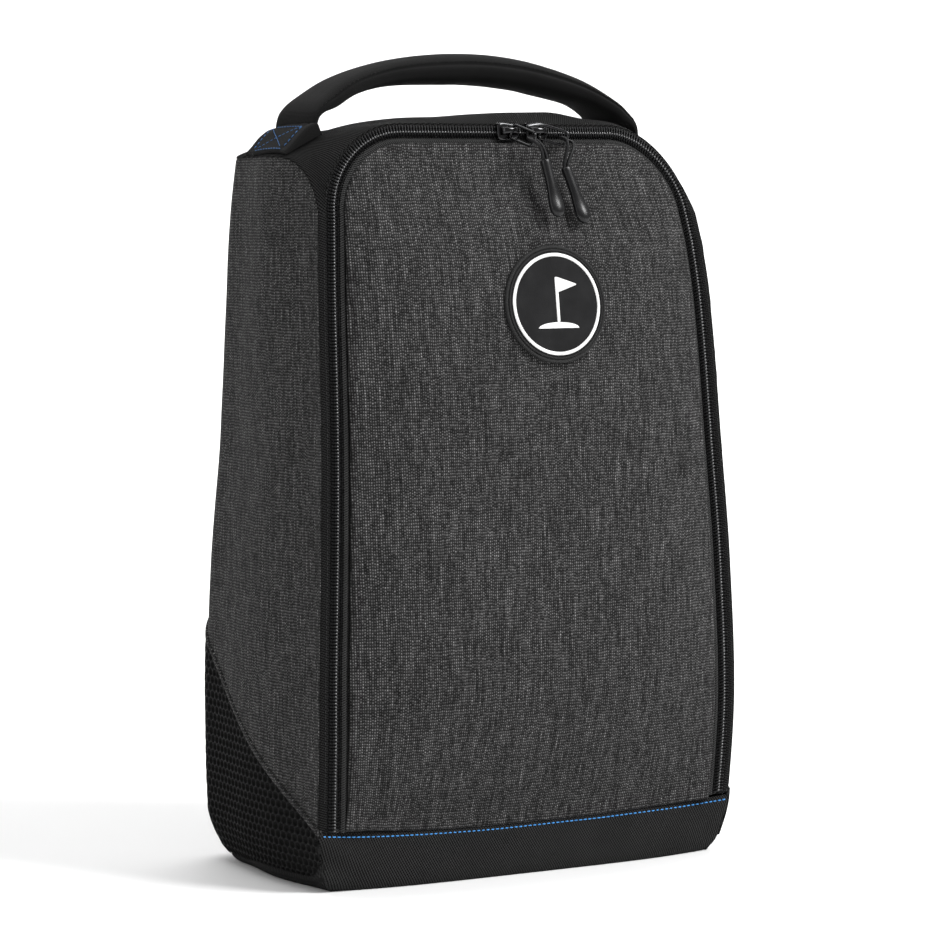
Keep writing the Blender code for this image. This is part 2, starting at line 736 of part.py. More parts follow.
def pull_route(label):
    """The two strands and the U-turn that joins them round the bail's end bar."""
    bar, pointing, bar_way = bail_axes(label)
    end_bar = bar + pointing * BAIL_LENGTH
    top, foot = (Vector(p) for p in PULL_END[label])
    along = (foot - top).normalized()
    apart = pointing.cross(bar_way).normalized()
    spread_way = (Vector((1.0, 0.0, 0.0)) - along * along.x).normalized()
    if spread_way.dot(apart) < 0.0:
        apart = -apart
    grip_apart = CORD_RADIUS + 0.25
    strands = []
    for sign in (1.0, -1.0):
        start = end_bar + apart * LOOP_RADIUS * sign
        finish = top + spread_way * grip_apart * sign
        strands.append(bezier(start, start + pointing * 8.0, finish - along * 8.0, finish, 10))
    turn = []
    for angle in spread(8, 0.0, math.pi)[1:-1]:
        around = apart * math.cos(angle) - pointing * math.sin(angle)
        turn.append(end_bar + around * LOOP_RADIUS)
    return list(reversed(strands[0])) + turn + strands[1]


def bezier(a, b, c, d, count):
    points = []
    for t in spread(count):
        s = 1.0 - t
        points.append(a * s ** 3 + b * 3 * s * s * t + c * 3 * s * t * t + d * t ** 3)
    return points


def build_pull(label):
    bar, pointing, bar_way = bail_axes(label)
    pivot = bar + pointing * BAIL_LENGTH
    curve = bpy.data.curves.new("pull_cord_" + label, "CURVE")
    curve.dimensions = "3D"
    curve.bevel_depth = CORD_RADIUS * MM
    curve.bevel_resolution = 2
    curve.render_resolution_u = 0
    curve.use_fill_caps = True
    route = pull_route(label)
    spline = curve.splines.new("POLY")
    spline.points.add(len(route) - 1)
    for place, point in zip(spline.points, route):
        place.co = (*((point - pivot) * MM), 1.0)
    cord = bpy.data.objects.new("pull_cord_" + label, curve)
    cord.data.materials.append(material("rubber"))
    cord.location = pivot * MM
    bpy.context.scene.collection.objects.link(cord)

    top, foot = (Vector(p) for p in PULL_END[label])
    along = (foot - top).normalized()
    across = (Vector((1.0, 0.0, 0.0)) - along * along.x).normalized()
    outward = along.cross(across)
    shape = ((GAP, 2.1, 1.3), (0.9, 2.5, 1.7), (9.0, 2.4, 1.7), (17.0, 2.7, 1.9), (22.0, 3.1, 2.2),
             (25.5, 2.5, 1.8), (GRIP_LENGTH, 0.9, 0.7))
    rings = []
    for distance, wide, deep in shape:
        middle = top - pivot + along * distance
        rings.append([middle + across * wide * a + outward * deep * b for a, b in circle(12, 1.0)])
    add_object("pull_end_" + label, bridge_rings(rings), "rubber", pivot)


# ---------------------------------------------------------------- handle

def handle_line(angle):
    """Middle line of the handle, from the left foot (0) to the right foot (pi)."""
    toward_left = math.cos(angle)
    drop = LEFT_FOOT_DROP * max(0.0, toward_left) ** 4
    return Vector((-HANDLE_HALF_SPAN * toward_left, 0.0, HANDLE_FOOT - drop + HANDLE_RISE * math.sin(angle)))


def handle_section(angle, inset, count=12):
    """Cross section of the padded grip: full in the middle, flat at its feet."""
    middle = handle_line(angle)
    step = 0.01
    along = (handle_line(angle + step) - handle_line(angle - step)).normalized()
    out = Vector((-along.z, 0.0, along.x))
    fullness = smooth(math.sin(angle) / 0.55)
    deep = mix(9.0, HANDLE_HALF_DEPTH, fullness) - inset
    thick = mix(3.2, HANDLE_HALF_THICK, fullness) - inset
    ring = []
    for a, b in circle(count, 1.0):
        square = 1.0 / max(abs(a) ** 2.4 + abs(b) ** 2.4, 1e-6) ** (1 / 2.4)
        ring.append(middle + Vector((0.0, 1.0, 0.0)) * a * square * deep + out * b * square * thick)
    return ring


def handle_layer(name, outer_inset, inner_inset, start, material_name):
    """A tube over the handle's length, or a solid core when inner_inset is None."""
    pivot = Vector((0.0, 0.0, HANDLE_AXIS_Z))
    angles = spread(19, start, math.pi - start)
    outer = [[p - pivot for p in handle_section(a, outer_inset)] for a in angles]
    if inner_inset is None:
        return add_object(name, bridge_rings(outer), material_name, pivot)
    inner = [[p - pivot for p in handle_section(a, inner_inset)] for a in angles]
    body = bmesh.new()
    skins = [[[body.verts.new(p) for p in ring] for ring in rings] for rings in (outer, inner)]
    count = len(skins[0][0])
    for skin in skins:
        for low, high in zip(skin, skin[1:]):
            for i in range(count):
                j = (i + 1) % count
                body.faces.new((low[i], low[j], high[j], high[i]))
    for end in (0, -1):
        for i in range(count):
            j = (i + 1) % count
            body.faces.new((skins[0][end][i], skins[0][end][j], skins[1][end][j], skins[1][end][i]))
    return add_object(name, body, material_name, pivot)


def build_handle():
    start = 0.17
    handle_layer("handle_cover", 0.0, 1.2, start, "jersey")
    handle_layer("handle_foam", 1.2 + GAP, None, start + 0.02, "foam")


def surface_tree(rows):
    """A search tree of a grid of points, for dropping things onto it."""
    width = len(rows[0])
    points = [point for row in rows for point in row]
    faces = []
    for r in range(len(rows) - 1):
        for c in range(width - 1):
            i = r * width + c
            faces.append((i, i + 1, i + width + 1, i + width))
    return BVHTree.FromPolygons(points, faces)


def build_handle_patches():
    """The flat sewn feet of the handle strap, lying on the gusset down to the side seams."""
    tree = surface_tree(gusset_rows())
    for label, side in (("left", -1.0), ("right", 1.0)):
        outer, inner = [], []
        for x in spread(5, PATCH_INNER, PATCH_OUTER):
            line_out, line_in = [], []
            for y in spread(7, -STRAP_HALF_WIDTH, STRAP_HALF_WIDTH):
                found, normal, _, _ = tree.ray_cast(Vector((side * x, y, 400.0)), Vector((0.0, 0.0, -1.0)))
                up = normal if normal.z > 0.0 else -normal
                line_in.append(found + up * PATCH_LIFT)
                line_out.append(found + up * (PATCH_LIFT + PATCH_THICK))
            outer.append(line_out)
            inner.append(line_in)
        add_object("handle_patch_" + label, bridge_grids(outer, inner), "jersey")


# ---------------------------------------------------------------- the whole bag

def main():
    clear_scene()
    build_back()
    build_side_walls()
    build_base()
    build_gusset()
    build_hinge_binding()
    build_zip()
    build_flap()
    build_badge()
    for label in ("left", "right"):
        build_slider(label)
        build_bail(label)
        build_pull(label)
    build_handle_patches()
    build_handle()


main()
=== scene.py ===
"""Looks of the golf shoe bag: cloth, zip, handle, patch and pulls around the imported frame.

Lengths are in millimetres until a mesh is made, where MM turns them into metres. The bag
stands on its base at the origin, +X to its right as seen from the front, +Y to its back.
"""

import math

import bmesh
import bpy
import numpy as np
from mathutils import Matrix, Vector, noise
from mathutils.bvhtree import BVHTree


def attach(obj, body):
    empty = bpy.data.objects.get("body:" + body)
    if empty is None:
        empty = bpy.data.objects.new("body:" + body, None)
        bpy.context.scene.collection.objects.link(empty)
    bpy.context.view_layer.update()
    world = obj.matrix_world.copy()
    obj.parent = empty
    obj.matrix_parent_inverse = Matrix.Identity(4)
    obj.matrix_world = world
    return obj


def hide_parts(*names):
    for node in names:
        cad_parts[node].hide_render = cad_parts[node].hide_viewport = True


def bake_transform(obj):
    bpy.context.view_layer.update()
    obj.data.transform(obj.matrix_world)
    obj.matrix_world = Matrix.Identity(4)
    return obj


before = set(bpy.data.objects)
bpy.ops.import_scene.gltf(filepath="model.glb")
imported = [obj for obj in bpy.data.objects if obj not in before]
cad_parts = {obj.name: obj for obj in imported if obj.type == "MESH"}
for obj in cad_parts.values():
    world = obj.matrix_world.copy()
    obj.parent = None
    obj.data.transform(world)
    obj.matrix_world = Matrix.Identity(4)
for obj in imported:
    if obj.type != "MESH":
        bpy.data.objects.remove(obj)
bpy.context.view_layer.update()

MM = 0.001
TAU = 2.0 * math.pi
SIDES = (("left", -1.0), ("right", 1.0))


# ---------------------------------------------------------------- small helpers

def spread(count, low=0.0, high=1.0):
    return [low + (high - low) * i / (count - 1) for i in range(count)]


def mix(a, b, t):
    return a + (b - a) * t


def smooth(t):
    t = min(1.0, max(0.0, t))
    return t * t * (3.0 - 2.0 * t)


def both_ways(fractions):
    """Fractions from 0 to 1 turned into places from -1 to 1."""
    return [2.0 * s - 1.0 for s in fractions]


def running_lengths(points):
    """Distance along a line of points from the first to each of them."""
    lengths = [0.0]
    for a, b in zip(points, points[1:]):
        lengths.append(lengths[-1] + (b - a).length)
    return lengths


def circle(count, radius, start=0.0):
    angles = [start + TAU * i / count for i in range(count)]
    return [(radius * math.cos(a), radius * math.sin(a)) for a in angles]


def wander(x, y, size, seed=0.0):
    """Smooth noise from about -1 to 1 with bumps of roughly `size` mm."""
    return noise.noise(Vector((x / size, y / size, seed * 7.31)))


def edge_spread(count, size, roll):
    """Fractions along a sheet `size` mm long, close together inside its rolled edges."""
    near = [roll * (1.0 - math.cos(a)) / size for a in spread(5, 0.0, math.pi / 2.0)]
    middle = spread(count, near[-1], 1.0 - near[-1])
    return near[:-1] + middle + [1.0 - n for n in reversed(near[:-1])]


# ---------------------------------------------------------------- materials

def node(tree, kind, inputs=None, **settings):
    """Add a shader node; inputs maps a socket's name or number to a value or an output."""
    made = tree.nodes.new("ShaderNode" + kind)
    for key, value in settings.items():
        setattr(made, key, value)
    for key, value in (inputs or {}).items():
        if isinstance(value, bpy.types.NodeSocket):
            tree.links.new(value, made.inputs[key])
        else:
            made.inputs[key].default_value = value
    return made


def math_node(tree, operation, *values):
    return node(tree, "Math", dict(enumerate(values)), operation=operation).outputs[0]


def ramp(tree, fac, *stops):
    """Colour ramp; each stop is (position, grey or colour)."""
    made = node(tree, "ValToRGB", {0: fac})
    elements = made.color_ramp.elements
    while len(elements) < len(stops):
        elements.new(0.5)
    for element, (position, colour) in zip(elements, stops):
        element.position = position
        rgb = colour if isinstance(colour, tuple) else (colour,) * 3
        element.color = (*rgb, 1.0)
    return made.outputs[0]


def cloth_coordinates(tree):
    """Millimetres along the cloth's own weft and warp, kept in each mesh's UV map."""
    return node(tree, "UVMap", uv_map="cloth").outputs[0]


def scaled(tree, coordinates, across, along, turn=0.0):
    """Coordinates where one unit is `across` by `along` mm."""
    turned = node(tree, "Mapping", {0: coordinates, 2: (0.0, 0.0, turn)}).outputs[0]
    return node(tree, "Mapping", {0: turned, 3: (1.0 / across, 1.0 / along, 1.0)}).outputs[0]


def ribs(tree, coordinates, direction, pitch):
    """A sine from -1 to 1 whose crests are `pitch` mm apart along direction (degrees)."""
    angle = math.radians(direction)
    way = (math.cos(angle) * TAU / pitch, math.sin(angle) * TAU / pitch, 0.0)
    dot = node(tree, "VectorMath", {0: coordinates, 1: way}, operation="DOT_PRODUCT")
    return math_node(tree, "SINE", dot.outputs["Value"])


def noise_node(tree, coordinates, scale=1.0, detail=2.0):
    inputs = {"Vector": coordinates, "Scale": scale, "Detail": detail}
    return node(tree, "TexNoise", inputs)


def cloth_noise(tree, cloth, across, along):
    """Soft noise from 0 to 1 with bumps of `across` by `along` mm."""
    return noise_node(tree, scaled(tree, cloth, across, along)).outputs[0]


def new_material(name, colour, roughness, metallic=0.0, **fixed):
    """Principled material; fixed sets its other sockets, with _ for a space."""
    made = bpy.data.materials.new(name)
    made.use_nodes = True
    shader = made.node_tree.nodes["Principled BSDF"]
    shader.inputs["Base Color"].default_value = (*colour, 1.0)
    shader.inputs["Roughness"].default_value = roughness
    shader.inputs["Metallic"].default_value = metallic
    for key, value in fixed.items():
        shader.inputs[key.replace("_", " ")].default_value = value
    return made, made.node_tree, shader


def finish_material(tree, shader, colour, rough, height, depth):
    """Wire colour, roughness if it varies, and a bump of `depth` mm into the shader."""
    tree.links.new(colour, shader.inputs["Base Color"])
    if rough is not None:
        tree.links.new(rough, shader.inputs["Roughness"])
    bump = node(tree, "Bump", {"Height": height, "Distance": depth * MM, "Strength": 1.0})
    tree.links.new(bump.outputs[0], shader.inputs["Normal"])


def scale_colour(tree, colour, factor):
    """The colour times a factor, which may be a colour too."""
    inputs = {6: colour, 7: factor, 0: 1.0}
    return node(tree, "Mix", inputs, data_type="RGBA", blend_type="MULTIPLY").outputs[2]


# Sizes in the heather cloth, across and along it, in mm.
WEAVE = (1.05, 1.36)        # one pale dot
SWAY = (14.0, 22.0)         # slow waves in its rows and columns
STREAK = (7.0, 90.0)        # broad pale and dark streaks
FIBRE = (0.45, 1.15)        # the fibres in a dot


def heather_material():
    """Charcoal cloth: rows of two-tone yarn whose pale dots drift in and out down each column."""
    made, tree, shader = new_material("heather", (0.05, 0.05, 0.05), 0.9, Specular_IOR_Level=0.08,
                                      Sheen_Weight=0.03, Sheen_Roughness=0.5)
    cloth = cloth_coordinates(tree)
    sway = noise_node(tree, scaled(tree, cloth, *SWAY)).outputs["Color"]
    swayed = node(tree, "VectorMath", {0: cloth, 1: sway}, operation="ADD").outputs[0]
    place = node(tree, "SeparateXYZ", {0: scaled(tree, swayed, *WEAVE)}).outputs
    column = math_node(tree, "FLOOR", place[0])
    row = math_node(tree, "FLOOR", place[1])
    cell = node(tree, "CombineXYZ", {0: column, 1: row}).outputs[0]
    each = node(tree, "TexWhiteNoise", {"Vector": cell}, noise_dimensions="2D").outputs["Value"]
    down = node(tree, "CombineXYZ", {0: math_node(tree, "MULTIPLY", column, 1.37),
                                     1: math_node(tree, "MULTIPLY", row, 0.07)}).outputs[0]
    yarn = noise_node(tree, down, detail=1.0).outputs[0]
    level = math_node(tree, "MULTIPLY_ADD", yarn, 0.68, -0.015)
    level = math_node(tree, "MULTIPLY_ADD", each, 0.30, level)
    level = math_node(tree, "MULTIPLY_ADD", cloth_noise(tree, cloth, *STREAK), 0.08, level)
    level = math_node(tree, "MULTIPLY_ADD", cloth_noise(tree, swayed, *FIBRE), 0.70, level)
    level = math_node(tree, "MULTIPLY", level, 0.7)
    tone = ramp(tree, level, (0.28, 0.007), (0.50, 0.040), (0.72, 0.112), (0.95, 0.26))
    slip = noise_node(tree, down, 2.3).outputs[0]
    across = math_node(tree, "PINGPONG", place[0], 0.5)
    shifted = math_node(tree, "MULTIPLY_ADD", slip, 1.6, place[1])
    along = math_node(tree, "PINGPONG", shifted, 0.5)
    middle = math_node(tree, "MULTIPLY", across, along)
    dot = math_node(tree, "MULTIPLY", middle, 4.0)
    # paler at each loop's raised middle and darker at its sunken rim: the yarn's pale dot, with painted light
    # and painted shade on the loops
    loop_tone_and_painted_shade = ramp(tree, dot, (0.0, 0.16), (0.40, 0.42), (0.70, 1.3), (1.0, 2.7))
    colour = scale_colour(tree, scale_colour(tree, tone, loop_tone_and_painted_shade), (1.0, 0.985, 0.985, 1.0))
    finish_material(tree, shader, colour, None, middle, 0.5)
    return made


FUZZ = (0.6, 0.6)           # size of the loose fibres on the plain cloths, in mm
WORN = (22.0, 22.0)         # size of their slightly duller patches


def ribbed_material(name, dark, pale, direction, pitch, roughness=0.72, depth=0.22, cross=None, **fixed):
    """Plain cloth with one set of ribs, and a faint second set when cross is given. Its colour follows the
    ribs' height with a random fibre fleck: painted shade in the troughs, painted highlight on the crests.
    """
    made, tree, shader = new_material(name, (pale,) * 3, roughness, **fixed)
    cloth = cloth_coordinates(tree)
    wave = ribs(tree, cloth, direction, pitch)
    if cross is not None:
        second = math_node(tree, "MULTIPLY", ribs(tree, cloth, *cross), 0.45)
        wave = math_node(tree, "ADD", wave, second)
    height = math_node(tree, "MULTIPLY_ADD", cloth_noise(tree, cloth, *FUZZ), 1.1, wave)
    # painted shade and highlight: dark in the rib troughs, pale on the crests, plus the fibres' random fleck
    shade = math_node(tree, "MULTIPLY_ADD", height, 0.42, 0.30)
    worn = ramp(tree, cloth_noise(tree, cloth, *WORN), (0.3, 0.85), (0.7, 1.0))
    colour = scale_colour(tree, ramp(tree, shade, (0.0, dark), (1.0, pale)), worn)
    finish_material(tree, shader, colour, None, height, depth)
    return made


def tones(colour, dark, pale):
    """A darker and a paler tone of a colour."""
    return tuple(dark * c for c in colour), tuple(min(1.0, pale * c) for c in colour)


SMEAR = 9.0                 # size in mm of the slightly glossier patches
GLOSS_RANGE = 0.06          # how far the roughness varies either way


def grained_material(name, colour, roughness, grain, depth, metallic=0.0, **fixed):
    """Moulded or cast surface with a fine grain; object coordinates, grain size in mm."""
    made, tree, shader = new_material(name, colour, roughness, metallic, **fixed)
    place = node(tree, "TexCoord").outputs["Object"]
    fine = noise_node(tree, place, 1.0 / (grain * MM), 3.0).outputs[0]
    broad = noise_node(tree, place, 1.0 / (SMEAR * MM)).outputs[0]
    dark, pale = tones(colour, 0.8, 1.15)
    tint = ramp(tree, broad, (0.3, dark), (0.7, pale))
    rough = math_node(tree, "MULTIPLY_ADD", broad, 2.0 * GLOSS_RANGE, roughness - GLOSS_RANGE)
    finish_material(tree, shader, tint, rough, fine, depth)
    return made


BLUE = (0.055, 0.27, 0.66)
NAVY = (0.035, 0.13, 0.33)
DULL = {"Specular_IOR_Level": 0.045}
# In the ribbed cloths, dark is the painted shade of the rib troughs and pale the painted highlight on their
# crests.
MATERIALS = {
    "heather": heather_material(),
    "band": ribbed_material("twill_band", 0.001, 0.038, 29.0, 1.15, cross=(-61.0, 1.0), **DULL),
    "twill": ribbed_material("twill_top", 0.0005, 0.022, -20.0, 1.05, cross=(58.0, 1.0), **DULL),
    # zip tape: its pale tone is raised as painted light, so the strip in the opening panel's shade still
    # shows its weave
    "tape": ribbed_material("zip_tape", 0.003, 0.060, 62.0, 1.0, cross=(118.0, 1.0), depth=0.15, **DULL),
    "jersey": ribbed_material("jersey", 0.006, 0.012, 90.0, 0.55, 0.9, 0.06, cross=(0.0, 0.7),
                              Sheen_Weight=0.05, Sheen_Roughness=0.4, **DULL),
    "mesh": ribbed_material("mesh_yarn", 0.002, 0.009, 45.0, 0.5, 0.6, 0.08, Specular_IOR_Level=0.12),
    "lining": ribbed_material("lining_nylon", 0.02, 0.055, 0.0, 0.6, 0.55, 0.06, cross=(90.0, 0.6)),
    "thread": ribbed_material("black_thread", 0.006, 0.020, 60.0, 0.35, 0.6, 0.05, Specular_IOR_Level=0.3),
    "coil": grained_material("zip_coil", (0.004, 0.004, 0.0045), 0.42, 0.6, 0.01, Specular_IOR_Level=0.2),
    # heads: a pale grey instead of the coil's black, a painted highlight on each tooth's head
    "heads": grained_material("zip_heads_painted_highlight", (0.11, 0.11, 0.112), 0.22, 0.6, 0.01, Specular_IOR_Level=0.8),
    "metal": grained_material("black_nickel", (0.040, 0.040, 0.041), 0.17, 1.2, 0.015, 1.0),
    "rubber": grained_material("pull_rubber", (0.005, 0.005, 0.0055), 0.29, 0.5, 0.015,
                               Specular_IOR_Level=0.32),
    "cord": grained_material("pull_cord", (0.006, 0.006, 0.0065), 0.5, 0.4, 0.05, Specular_IOR_Level=0.2),
    "print": grained_material("white_print", (0.80, 0.80, 0.79), 0.5, 0.4, 0.03),
    "badge": grained_material("badge_cloth", (0.015, 0.015, 0.0155), 0.7, 0.5, 0.08, **DULL),
    "backing": grained_material("dark_backing", (0.003, 0.003, 0.003), 0.9, 0.8, 0.05, **DULL),
}


def blue_thread_material(name, tone):
    """Twisted sewing thread whose strands show as darker and paler flecks."""
    made, tree, shader = new_material(name, tone, 0.5, Specular_IOR_Level=0.3)
    place = node(tree, "TexCoord").outputs["Object"]
    twist = noise_node(tree, place, 1.0 / (0.5 * MM)).outputs[0]
    dark, pale = tones(tone, 0.6, 1.25)
    colour = ramp(tree, twist, (0.35, dark), (0.65, pale))
    finish_material(tree, shader, colour, None, twist, 0.06)
    return made


MATERIALS["blue"] = blue_thread_material("blue_thread", BLUE)
MATERIALS["navy"] = blue_thread_material("navy_thread", NAVY)


# ---------------------------------------------------------------- mesh helpers

def make_piece(name, body, points, faces, material, flat=None, sharp=45.0):
    """A mesh object from points in mm; flat gives each point its place on the cloth in mm."""
    mesh = bpy.data.meshes.new(name)
    mesh.from_pydata([tuple(c * MM for c in p) for p in points], [], faces)
    mesh.validate()
    outward = bmesh.new()
    outward.from_mesh(mesh)
    bmesh.ops.recalc_face_normals(outward, faces=outward.faces)
    outward.to_mesh(mesh)
    outward.free()
    if flat is not None:
        layer = mesh.uv_layers.new(name="cloth")
        index = np.zeros(len(mesh.loops), dtype=np.int32)
        mesh.loops.foreach_get("vertex_index", index)
        layer.data.foreach_set("uv", np.array(flat, dtype=np.float32)[index].ravel())
    mesh.materials.append(MATERIALS[material])
    mesh.shade_smooth()
    mesh.set_sharp_from_angle(angle=math.radians(sharp))
    made = bpy.data.objects.new(name, mesh)
    bpy.context.scene.collection.objects.link(made)
    if body is not None:
        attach(made, body)
    return made


def grid_faces(rows, columns, first=0, flip=False):
    """Square faces over a grid whose points are numbered row by row from first."""
    faces = []
    for r in range(rows - 1):
        for c in range(columns - 1):
            i = first + r * columns + c
            face = (i, i + 1, i + columns + 1, i + columns)
            faces.append(face[::-1] if flip else face)
    return faces


def grid_rim(rows, columns):
    """Numbers of the points round a grid's edge, in order."""
    rim = [(0, c) for c in range(columns)] + [(r, columns - 1) for r in range(1, rows)]
    rim += [(rows - 1, c) for c in range(columns - 2, -1, -1)]
    rim += [(r, 0) for r in range(rows - 2, 0, -1)]
    return [r * columns + c for r, c in rim]


MIDDLE = (0.0, 0.0, 170.0)  # a point inside the bag, which every outward direction leaves
UNROLLED = (False,) * 4


def grid_normals(grid):
    """Unit normals of a grid of points (rows, columns, 3), pointing away from the bag's middle."""
    down = np.gradient(grid, axis=0)
    across = np.gradient(grid, axis=1)
    normals = np.cross(down, across)
    length = np.linalg.norm(normals, axis=2, keepdims=True)
    normals = normals / np.maximum(length, 1e-9)
    facing = np.sum(normals * (grid - np.array(MIDDLE)))
    return normals if facing > 0.0 else -normals


def edge_distance(grid):
    """Distance in mm of each grid point from the low row, high row, low and high column."""
    down = np.linalg.norm(np.diff(grid, axis=0), axis=2)
    across = np.linalg.norm(np.diff(grid, axis=1), axis=2)
    from_low_row = np.vstack([np.zeros((1, grid.shape[1])), np.cumsum(down, axis=0)])
    from_low_column = np.hstack([np.zeros((grid.shape[0], 1)), np.cumsum(across, axis=1)])
    return (from_low_row, from_low_row[-1:] - from_low_row,
            from_low_column, from_low_column[:, -1:] - from_low_column)


def roll_sink(distance, radius, depth):
    """How far a rolled edge sinks at a distance from it."""
    part = np.clip(1.0 - distance / radius, 0.0, 1.0)
    return depth * (1.0 - np.sqrt(1.0 - part * part))


def cloth_sheet(name, body, grid, flat, thick, material, roll=2.2, sink=1.3,
                rolled=(True, True, True, True), relief=None, lift=0.0):
    """A closed sheet of cloth over a grid of outer points.

    roll and sink shape the rolled edges, relief is an extra outward height for each point,
    and lift moves the whole sheet outward.
    """
    grid = np.array(grid, dtype=float)
    normals = grid_normals(grid)
    height = np.full(grid.shape[:2], float(lift))
    if relief is not None:
        height = height + relief
    sunk = np.zeros(grid.shape[:2])
    for distance, wanted in zip(edge_distance(grid), rolled):
        if wanted:
            sunk = np.maximum(sunk, roll_sink(distance, roll, sink))
    outer = grid + normals * (height - sunk)[:, :, None]
    inner = grid + normals * (lift - thick)
    rows, columns = grid.shape[:2]
    points = np.concatenate([outer.reshape(-1, 3), inner.reshape(-1, 3)])
    half = rows * columns
    faces = grid_faces(rows, columns) + grid_faces(rows, columns, half, flip=True)
    rim = grid_rim(rows, columns)
    for a, b in zip(rim, rim[1:] + rim[:1]):
        faces.append((b, a, a + half, b + half))
    flat = np.array(flat, dtype=float).reshape(-1, 2)
    return make_piece(name, body, points, faces, material, np.concatenate([flat, flat]))


def surface_grid(surface, rows, columns):
    """Points and cloth places of surface(row value, column value) over two lists."""
    points, flat = [], []
    for r in rows:
        line = [surface(r, c) for c in columns]
        points.append([tuple(p) for p, _ in line])
        flat.append([uv for _, uv in line])
    return points, flat


# A stitch from end to end: (share of its length, share of its radius, lift in radii).
THREAD_PROFILE = ((0.0, 0.35, -0.5), (0.14, 0.8, 0.2), (0.5, 1.0, 0.55), (0.86, 0.8, 0.2), (1.0, 0.35, -0.5))


class Stitches:
    """One mesh of many small rounded threads lying on a surface."""

    def __init__(self):
        self.points, self.faces = [], []

    def thread(self, start, end, normal, radius, sides=6):
        """A capsule from start to end that bows a little out of the surface."""
        along = (end - start)
        length = along.length
        along.normalize()
        across = along.cross(normal).normalized()
        up = across.cross(along)
        first = len(self.points)
        for part, wide, lift in THREAD_PROFILE:
            middle = start + along * length * part + up * radius * lift
            for a, b in circle(sides, radius * wide):
                self.points.append(tuple(middle + across * a + up * b))
        for ring in range(len(THREAD_PROFILE) - 1):
            for i in range(sides):
                a = first + ring * sides + i
                b = first + ring * sides + (i + 1) % sides
                self.faces.append((a, b, b + sides, a + sides))
        self.faces.append(tuple(first + i for i in reversed(range(sides))))
        last = first + (len(THREAD_PROFILE) - 1) * sides
        self.faces.append(tuple(last + i for i in range(sides)))

    def run(self, path, pitch=2.5, share=0.72, radius=0.3):
        """Threads along a path of (point, normal), each `share` of the pitch long."""
        points = [Vector(p) for p, _ in path]
        normals = [Vector(n) for _, n in path]
        lengths = running_lengths(points)
        count = max(1, round(lengths[-1] / pitch))
        step = lengths[-1] / count

        def at(distance):
            i = max(k for k in range(len(points) - 1) if lengths[k] <= distance + 1e-9)
            t = (distance - lengths[i]) / max(lengths[i + 1] - lengths[i], 1e-9)
            return points[i].lerp(points[i + 1], t), normals[i].lerp(normals[i + 1], t).normalized()
        for k in range(count):
            start, normal = at(step * (k + 0.5 - share / 2.0))
            end, _ = at(step * (k + 0.5 + share / 2.0))
            self.thread(start, end, normal, radius)

    def make(self, name, body, material, slot):
        flat = [(p[0] + p[1], p[2]) for p in self.points]
        return make_piece(name, body, self.points, self.faces, material, flat, sharp=80.0)


def swept(rings, closed=False):
    """Points and faces of a tube through rings of the same number of points.

    A closed tube joins its last ring to its first; an open one has a face over each end.
    """
    points = [tuple(p) for ring in rings for p in ring]
    count = len(rings[0])
    faces = []
    total = len(rings)
    for r in range(total if closed else total - 1):
        for i in range(count):
            j = (i + 1) % count
            a, b = r * count, ((r + 1) % total) * count
            faces.append((a + i, a + j, b + j, b + i))
    if not closed:
        faces.append(tuple(reversed(range(count))))
        faces.append(tuple((total - 1) * count + i for i in range(count)))
    return points, faces


# ---------------------------------------------------------------- the bag's outer surface

# (height, half width, front, back) of the outer surface, as in the frame.
STATIONS = (
    (0.0, 104.5, -60.0, 38.0),
    (8.0, 109.0, -62.5, 47.0),
    (26.0, 112.7, -65.0, 54.5),
    (80.0, 113.8, -68.5, 54.5),
    (140.0, 112.0, -67.0, 51.0),
    (200.0, 109.2, -62.8, 47.5),
    (264.0, 107.0, -56.5, 45.0),
    (304.0, 104.0, -50.5, 46.0),
    (344.0, 101.0, -45.0, 43.0),
    (360.0, 100.0, -43.0, 42.0),
)
REAR_RADIUS = 14.0
SIDE_BULGE = 4.0
BACK_BULGE = 3.0
BAND_TOP = 24.0
BAND_RISE_LEFT = 5.0        # the seam over the band curves up to its corners
BAND_RISE_RIGHT = 3.0
BAND_HANG = 8.5             # the band's middle hangs straight down, its ends tuck back under
BACK_TURN_UP = 35.0
SHOULDER = 333.0
SHOULDER_RADIUS = 32.0
RIGHT_LEAN = 6.0
MESH_FRONT = 27.0
MESH_REAR = 121.0
MESH_DIP = 8.0
HEM = 3.2
BACK_TOP = 340.0
ZIP_FOOT = 28.0
ZIP_TOP = 344.0
ZIP_RADIUS = 38.0
ZIP_CORNER = ZIP_TOP - ZIP_RADIUS     # height where the uprights turn into the corners
ZIP_INSET = 7.5
COIL_HALF = 2.85            # one half of the closed chain, centre line to outer side
COIL_PITCH = 1.5
PANEL_EDGE = 4.9            # chain centre line to the opening panel's edge, at the top
PANEL_EDGE_FOOT = 6.4       # and at the foot
PANEL_BULGE = 13.0
PANEL_THICK = 2.4
BADGE_X, BADGE_Z = 8.0, 264.9
SLIDER_X = {"left": -2.5, "right": 13.5}


def slopes(heights, values):
    steps = [(values[i + 1] - values[i]) / (heights[i + 1] - heights[i]) for i in range(len(values) - 1)]
    result = [steps[0]]
    for before, after in zip(steps, steps[1:]):
        same_way = before * after > 0
        result.append(2.0 * before * after / (before + after) if same_way else 0.0)
    return result + [steps[-1]]


HEIGHTS = [station[0] for station in STATIONS]
COLUMNS = {name: [station[i + 1] for station in STATIONS] for i, name in enumerate(("half", "front", "back"))}
SLOPES = {name: slopes(HEIGHTS, values) for name, values in COLUMNS.items()}


